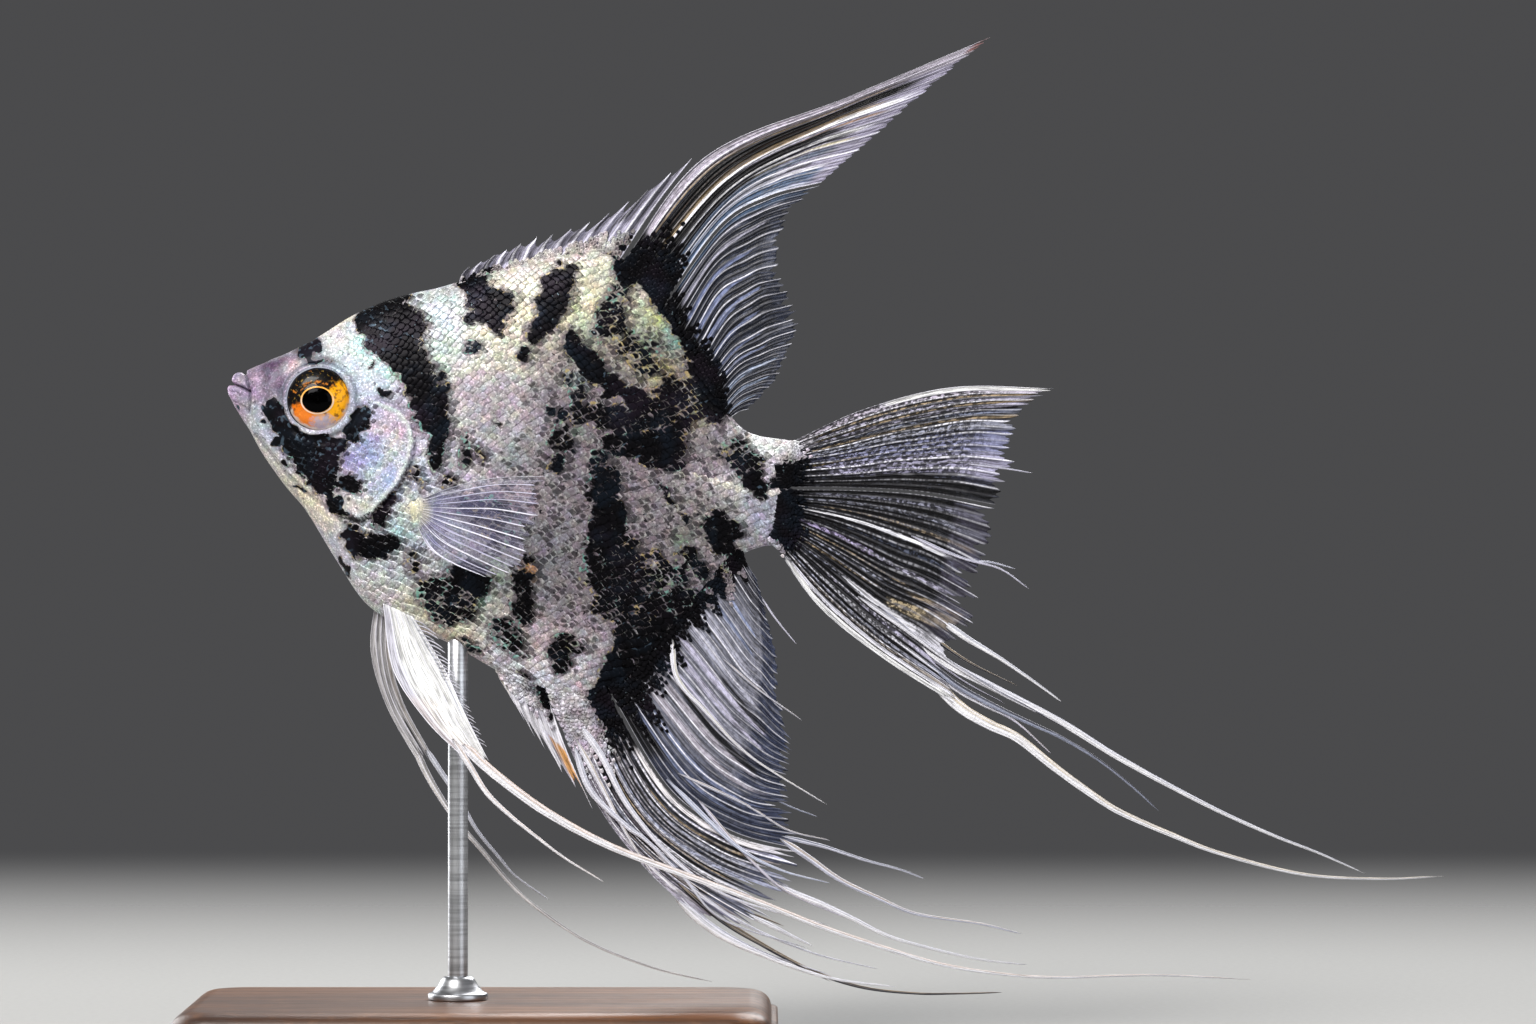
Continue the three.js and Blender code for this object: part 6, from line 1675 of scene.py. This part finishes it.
def add_root_scales(name, guides, darkness, top, seed, size, root):
    """Rows of small plates on both faces of a fin's base. darkness and top are (u, value) knots."""
    draw = np.random.default_rng(seed)
    u_line = np.linspace(0, 1, 60)
    foot = span(guides, u_line, np.full(60, 0.04))
    width = np.linalg.norm(np.diff(foot, axis=0), axis=1).sum()
    length = np.linalg.norm(np.diff(np.array(guides[len(guides) // 2]), axis=0), axis=1).sum()
    step_u, step_v = 0.72 * size / width, 0.56 * size / length
    u, v = np.meshgrid(np.arange(0, 1, step_u), np.arange(-0.02, ROOT_SCALES_END, step_v), indexing="ij")
    v = v + draw.normal(0, 0.12 * step_v, u.shape)
    u = u + (np.arange(u.shape[1]) % 2)[None] * step_u / 2 + draw.normal(0, 0.12 * step_u, u.shape)
    u, v = u.ravel(), v.ravel()
    height = value_at(top, u) * (1 + 0.35 * wobble(u * 40, v * 4, 3, seed))
    keep = (v < height) & (u > 0.01) & (u < 0.99)
    u, v, height = u[keep], v[keep], height[keep]
    place = span(guides, u, v)
    along = span(guides, u, v + 0.01) - place
    along /= np.linalg.norm(along, axis=1, keepdims=True)
    small = size * (1 - 0.45 * ramp(v / height, 0.2, 1)) * draw.normal(1, 0.08, len(u))
    p = (PLATE_A[None] - 0.2) * 1.3 * small[:, None, None]
    outline = np.sqrt(np.clip(1 - (np.clip(PLATE_A - 0.4, 0, 1) / 0.62) ** 2.4, 0.03, 1))
    q = PLATE_O[None] * outline[None] * 0.52 * small[:, None, None]
    root_x, root_z, along_x, along_z = (k[:, None, None] for k in (*place.T, *along.T))
    x, z = root_x + p * along_x - q * along_z, root_z + p * along_z + q * along_x
    one = plate_faces(PLATE_SIDE, PLATE_SIDE, fan=False)
    per_plate = PLATE_A.size + len(PLATE_EDGE)
    strength = value_at(darkness, u) + 0.2 * wobble(place[:, 0], place[:, 1], 3, seed)
    strength = np.where(strength > 0.62, 1, np.clip(strength, 0, 0.6) * (1 - 0.7 * ramp(v / height, 0.3, 1)))
    spot = np.where(strength > 0.07, np.clip(0.2 + 1.4 * strength - draw.uniform(0, 0.6, len(u)), 0, 1.2), -1)
    shade = 1 - 0.86 * np.clip(value_at(darkness, u) - 0.15, 0, 1)[:, None]
    shine = tint(place[:, 0], place[:, 1]) * draw.uniform(0.7, 1.1, (len(u), 1)) * shade
    points, faces, uvs, leaves = [], [], [], []
    local = np.stack([PLATE_A.ravel(), PLATE_O.ravel()], -1)
    local = np.concatenate([local, local[PLATE_EDGE]])
    for face_number, way in enumerate((-1, 1)):
        out = FIN_HALF_THICKNESS + root * bell(np.clip(v, 0, 1), ROOT_SWELLING)
        lift = out[:, None, None] + (0.02 + 0.13 * PLATE_A[None]) * small[:, None, None]
        y = sway(x, z) + way * lift
        top_points = np.stack([x, y, z], -1).reshape(len(u), PLATE_A.size, 3)
        under = top_points[:, PLATE_EDGE] - np.array([0, way * 0.3, 0])
        base = face_number * len(u) * per_plate
        points.append(np.concatenate([top_points, under], 1).reshape(-1, 3))
        own_faces = one if way < 0 else [face[::-1] for face in one]
        faces += [[corner + base for corner in face] for face in copies(own_faces, len(u), per_plate)]
        share_up = np.clip(v / ROOT_SCALES_END, 0, 1)
        home = np.stack([0.01 + 0.47 * u + 0.5 * face_number, 0.01 + 0.98 * share_up], -1)
        uvs.append((home[:, None] + (local - (0.5, 0)) * SCALE_PATCH).reshape(-1, 2))
        leaves.append((local[None] + draw.normal(0, (0.06, 0.12), (len(u), 1, 2))).reshape(-1, 2))
    corners = np.concatenate(faces)
    painted = {key: np.tile(np.repeat(value, per_plate, 0), (2, 1) if value.ndim == 2 else 2)
               for key, value in (("marble", strength), ("spot", spot), ("tint", shine))}
    maps = {"OFBake": np.concatenate(uvs)[corners], "leaf": np.concatenate(leaves)[corners]}
    return add_piece(name, np.concatenate(points), faces, scale_finish, "flank_skin", (), painted, maps)


# %% The root scales of each fin
# name, how black along the base, how far up along the base, size, how much thicker the fin's root is
ROOT_SCALES = [
    ("dorsal_spines", [(0, 0.3), (0.1, 0.7), (0.3, 0.3), (0.5, 0.12), (0.7, 0.3), (0.85, 0.2), (1, 0.7)],
     [(0, 0.36), (0.5, 0.46), (1, 0.34)], 0.85, 0.35),
    ("dorsal_plume", [(0, 1), (1, 1)], [(0, 0.1), (0.3, 0.13), (1, 0.16)], 0.9, 0.5),
    ("dorsal_sail", [(0, 1), (0.7, 1), (1, 0.8)], [(0, 0.1), (0.3, 0.14), (0.7, 0.17), (1, 0.2)], 0.9, 0.45),
    ("anal_spines", [(0, 0.1), (0.6, 0.15), (0.85, 0.5), (1, 0.9)], [(0, 0.36), (0.5, 0.36), (1, 0.3)],
     0.85, 0.85),
    ("anal_fan", [(0, 0.08), (0.6, 0.2), (0.76, 1), (1, 1)], [(0, 0.2), (0.3, 0.2), (0.5, 0.24), (1, 0.2)],
     0.9, 0.85),
    ("anal_sail", [(0, 1), (0.3, 1), (0.5, 0.85), (0.7, 0.7), (0.85, 0.6), (1, 1)],
     [(0, 0.18), (0.3, 0.13), (0.7, 0.14), (1, 0.3)], 0.85, 0.5),
    ("tail_fan_upper", [(0, 0.05), (0.4, 0.2), (0.6, 0.9), (1, 1)], [(0, 0.07), (0.5, 0.1), (1, 0.09)],
     0.85, 0.85),
    ("tail_fan_lower", [(0, 1), (0.75, 1), (1, 0.1)], [(0, 0.08), (0.5, 0.13), (1, 0.07)], 0.85, 0.85),
]
for number, (name, darkness, top, size, root) in enumerate(ROOT_SCALES):
    add_root_scales(f"{name}_scales", FIN_GUIDES[name], darkness, top, 80 + number, size, root)

# %% [markdown]
# Some rays run on past the margin only a little way, in twos and threes that cross each other, and the
# pelvic blade has a comb of short free tips on its rear edge. They are the same ribbons, in one piece for
# each fin, because they grow out of it.

# %% Free ray tips
MILKY, BLUE_WHITE = (226, 226, 238), (196, 206, 232)
ANAL_TIPS = [  # path, width, colour, edge colour, how far to the fish's right
    ([(14.8, 47), (18.6, 39.9), (22.4, 32.7), (26.2, 26.8)], 1.1, SNOW, SAND, -0.75),
    ([(29.1, 62.2), (29.9, 56.3), (34.2, 51.2), (40.9, 44.5), (52.3, 37.3)], 1.05, SNOW, CREAM, -0.75),
    ([(36.7, 59.2), (42, 54.6), (48.5, 50)], 0.5, PEARL, SAND, -0.6),
    ([(42.2, 68.9), (44.6, 65.2), (47.8, 61.3)], 0.4, LACE, PEARL, 0.2),
    ([(28.3, 41.1), (38.4, 31.4), (45.1, 27.6), (52.8, 25.5)], 0.9, BLUE_WHITE, PEARL, -0.7),
    ([(30, 42), (40.1, 37.3), (46.4, 33.5), (52.8, 31.9)], 0.6, PEARL, SAND, -0.3),
    ([(15.5, 49), (18.6, 44.5), (22.4, 37.3), (28.3, 30.2), (34.6, 25.1), (41.3, 22.2), (52.8, 19.2)], 1.2,
     SNOW, PEARL, -0.8),
    ([(14.5, 46), (16.9, 39.4), (22.4, 34), (25.3, 31.9), (30.8, 26.4), (36.7, 20.1), (49.7, 15.7)], 1.1,
     MILKY, PEARL, -0.9),
    ([(20, 36), (26.2, 29.3), (30.8, 23), (35.8, 18.8), (43, 15), (52.8, 11.7)], 1.1, MILKY, PEARL, 0.2),
    ([(30, 25.5), (36.7, 19.7), (44, 15.4), (52.8, 10.8)], 0.8, INK, SAND, -0.6),
    ([(29, 29), (35.8, 23.4), (45.9, 19)], 0.8, UMBER, SAND, 0.3),
    ([(33, 38), (39.5, 30.5), (46, 24.5), (55, 20.4)], 0.7, LACE, SAND, -0.5),
    ([(26, 31), (32.5, 24.6), (40, 19.4), (50, 15.1), (60, 12.6)], 0.7, SNOW, PEARL, -0.3),
    ([(40.5, 41), (45.5, 37.6), (51, 35.4)], 0.4, FOG, PEARL, -0.2),
]
TAIL_TIPS = [
    ([(64, 78.5), (68.7, 76), (73.4, 74), (77, 73.6), (80.7, 72.6)], 0.8, PEARL, FOG, 0.2),
    ([(65, 77.6), (69.2, 75.6), (73.4, 74), (78.4, 72.6), (82.7, 69.6)], 0.7, LACE, FOG, -0.2),
    ([(72, 88.6), (76, 88.1), (79.7, 87.6), (83.2, 87)], 0.5, LACE, FOG, 0.1),
    ([(60, 64.6), (66, 59.6), (72, 54.2), (79, 50.6)], 0.9, SNOW, PEARL, 0.4),
    ([(62, 67.4), (68.4, 62.2), (74, 58.4), (81, 55)], 1.1, INK, SAND, 0.2),
    ([(60, 67), (67, 61.2), (74, 56.6), (83, 51.6), (90, 47.8)], 1, SOOT, PEARL, -0.2),
    ([(60, 65.4), (67, 59.8), (73, 55.6), (79, 52.4)], 0.9, INK, LACE, 0.3),
    ([(57, 68.5), (64, 63.6), (70.5, 58.8), (77.5, 54.4), (84, 51)], 0.8, SNOW, INK, -0.4),
    ([(62, 62.5), (68, 57.2), (75, 52.6), (80.5, 49.8), (86, 44.9)], 0.8, LACE, SAND, 0.5),
]
for name, tips in (("anal_ray_tips", ANAL_TIPS), ("tail_ray_tips", TAIL_TIPS)):
    ribbons = [thread(*shape_and_colours, shift=shift, tip=0.16) for *shape_and_colours, shift in tips]
    add_ribbons(name, ribbons, "pale_fin")

# %% The comb behind the pelvic blade
comb = []
for number, down in enumerate(np.linspace(0.03, 0.86, 30)):
    (root_x, root_z), = span(FIN_GUIDES["pelvic_blade_left"], np.array([0.88]), np.array([down]))
    reach = (3.4 - 2 * down) * (1 if number % 3 else 0.7)
    path = [(root_x + out * reach, root_z - drop * reach) for out, drop in ((0, 0), (0.5, 0.14), (1, 0.46))]
    comb.append(thread(path, 0.5, SNOW, LACE, tip=0.12, side=-1, shift=6.3 - 6.4 * down, steps_per_mm=3))
add_ribbons("pelvic_comb", comb, "pale_fin")
print("comb of", len(comb), "free tips")

# %% [markdown]
# ## The stand
#
# A model fish is shown on a rod that runs up into its belly, set in a small walnut plinth. The plinth could
# be a bevelled box, but a moulded edge catches the light as a turned or routed one does. So the plinth, the
# collar and the rod are all swept from a profile: rings of points at each height, closed at both ends.

# %% Swept forms
ROD_X, ROD_RADIUS = -3, 1.5


def add_swept(name, rings, finish, slot, replaces):
    """A closed form through rings of points, from the bottom up, with flat ends."""
    rings = np.array(rings, float)
    rows, columns = rings.shape[:2]
    quads, row, column = grid_faces(rows, columns, closed=True)
    ends = [list(reversed(range(columns))), [(rows - 1) * columns + k for k in range(columns)]]
    low, high = rings.reshape(-1, 3).min(0), rings.reshape(-1, 3).max(0)
    side = np.stack([0.01 + 0.98 * column / columns, 0.52 + 0.47 * row / (rows - 1)], -1)
    flat = (rings[:, :, :2] - low[:2]) / (high[:2] - low[:2]) * 0.46
    caps = [flat[0][::-1] + (0.51, 0.01), flat[-1] + (0.01, 0.01)]
    return add_piece(name, rings.reshape(-1, 3), [*quads[:, ::-1].tolist(), *ends], finish, slot, replaces,
                     None, {"OFBake": np.concatenate([side[:, ::-1].reshape(-1, 2), *caps])})


def rounded_plan(inset, height, half_x=45, half_y=28, corner=6.8, steps=12):
    """One ring of the plinth: a rectangle with round corners, drawn in from the widest by an inset."""
    radius = corner - 0.6 * inset
    ring = []
    for way_x, way_y, start in ((1, 1, 0), (-1, 1, 0.5), (-1, -1, 1), (1, -1, 1.5)):
        for k in range(steps + 1):
            turn = math.pi * (start + k / steps / 2)
            x = way_x * (half_x - inset - radius) + radius * math.cos(turn)
            ring.append((x, way_y * (half_y - inset - radius) + radius * math.sin(turn), height))
    return ring


def round_ring(radius, height, steps=48):
    """One ring of the collar or the rod."""
    turns = np.linspace(0, 2 * math.pi, steps, endpoint=False)
    return [(ROD_X + radius * math.cos(t), radius * math.sin(t), height) for t in turns]


print("points round the plinth:", len(rounded_plan(0, 0)))

# %% [markdown]
# Walnut is brown with darker growth lines that run along the plank, and short fine pores. A noise that is
# stretched along the grain gives the lines, and a finer one the pores. The rod is steel, brushed round.

# %% Wood and steel
def walnut_finish():
    wood = Finish("oiled_walnut", coat_roughness=0.3, specular_ior_level=0.4)
    figure = wood.noise(1.1, 3, wood.stretched(wood.place(), 6.0, 60.0, 60.0), Distortion=0.8)
    lines = wood.node("TexWave", {"bands_direction": "Y"}, {
        "Vector": wood.stretched(wood.place(), 4.0, 55.0, 30.0), "Scale": 1.2, "Distortion": 5.0,
        "Detail": 3.0, "Detail Scale": 1.2}, out=1)
    pores = wood.noise(60, 2, wood.stretched(wood.place(), 2.2, 55.0, 55.0))
    tone = wood.mix(figure.over(0.3, 0.7), linear(66, 40, 26), linear(124, 82, 52))
    tone = wood.mix(lines.over(0.45, 0.95) * 0.55, tone, linear(46, 27, 18))
    tone = wood.mix(pores.over(0.58, 0.68) * 0.5, tone, linear(30, 18, 12))
    tone = wood.mix(wood.noise(420, 3).over(0.5, 0.8) * 0.2, tone, linear(160, 112, 74))
    return wood.output(
        base_color=tone,
        roughness=0.42 + pores * 0.12 - figure * 0.06,
        coat_weight=0.35 - pores * 0.1,
        normal=wood.bump(lines * 0.3 - pores.over(0.56, 0.7), 0.00005),
    )


def steel_finish():
    steel = Finish("brushed_steel")
    stroke = steel.noise(1.0, 2, steel.stretched(steel.place(), 120.0, 120.0, 2600.0))
    cloud = steel.noise(180, 3)
    tone = steel.mix(stroke.over(0.3, 0.7), linear(168, 170, 174), linear(206, 208, 212))
    tone = steel.mix(cloud.over(0.5, 0.8) * 0.25, tone, linear(140, 138, 136))
    return steel.output(
        base_color=tone,
        metallic=1.0,
        roughness=0.24 + stroke * 0.16 + cloud * 0.06,
        normal=steel.bump(stroke, 0.000008),
    )


walnut, steel = walnut_finish(), steel_finish()
print("wood and steel ready")

# %% Plinth, collar and rod
MOULDING = [  # inset, height
    (1.2, 0), (0.5, 0.12), (0.1, 0.45), (0, 0.9), (0, 4.9), (0.08, 5.2), (0.35, 5.42), (0.9, 5.5),
    (1.05, 5.6), (1.1, 5.9), (1.3, 6.5), (1.75, 7.1), (2.5, 7.6), (3.4, 7.9), (4.2, 8), (4.5, 8),
]
add_swept("stand_plinth", [rounded_plan(*at) for at in MOULDING], walnut, "walnut", ("stand_base",))
COLLAR = [
    (4.2, 8.0), (4.45, 8.1), (4.5, 8.3), (4.5, 8.8), (4.4, 9), (4.05, 9.1), (3.7, 9.4), (3, 10.2),
    (2.6, 10.9), (2.45, 11.15), (2.2, 11.4), (1.9, 11.5), (1.6, 11.48),
]
add_swept("stand_collar", [round_ring(*at) for at in COLLAR], steel, "steel", ("stand_ferrule",))
ROD_TOP = value_at(BELLY, np.array([float(ROD_X)]))[0] + 4.9
POST = [(ROD_RADIUS, height) for height in (8.02, 12, 30, 48, ROD_TOP - 0.3)] + [(1.2, ROD_TOP)]
add_swept("stand_post", [round_ring(*at) for at in POST], steel, "steel", ("stand_rod",))
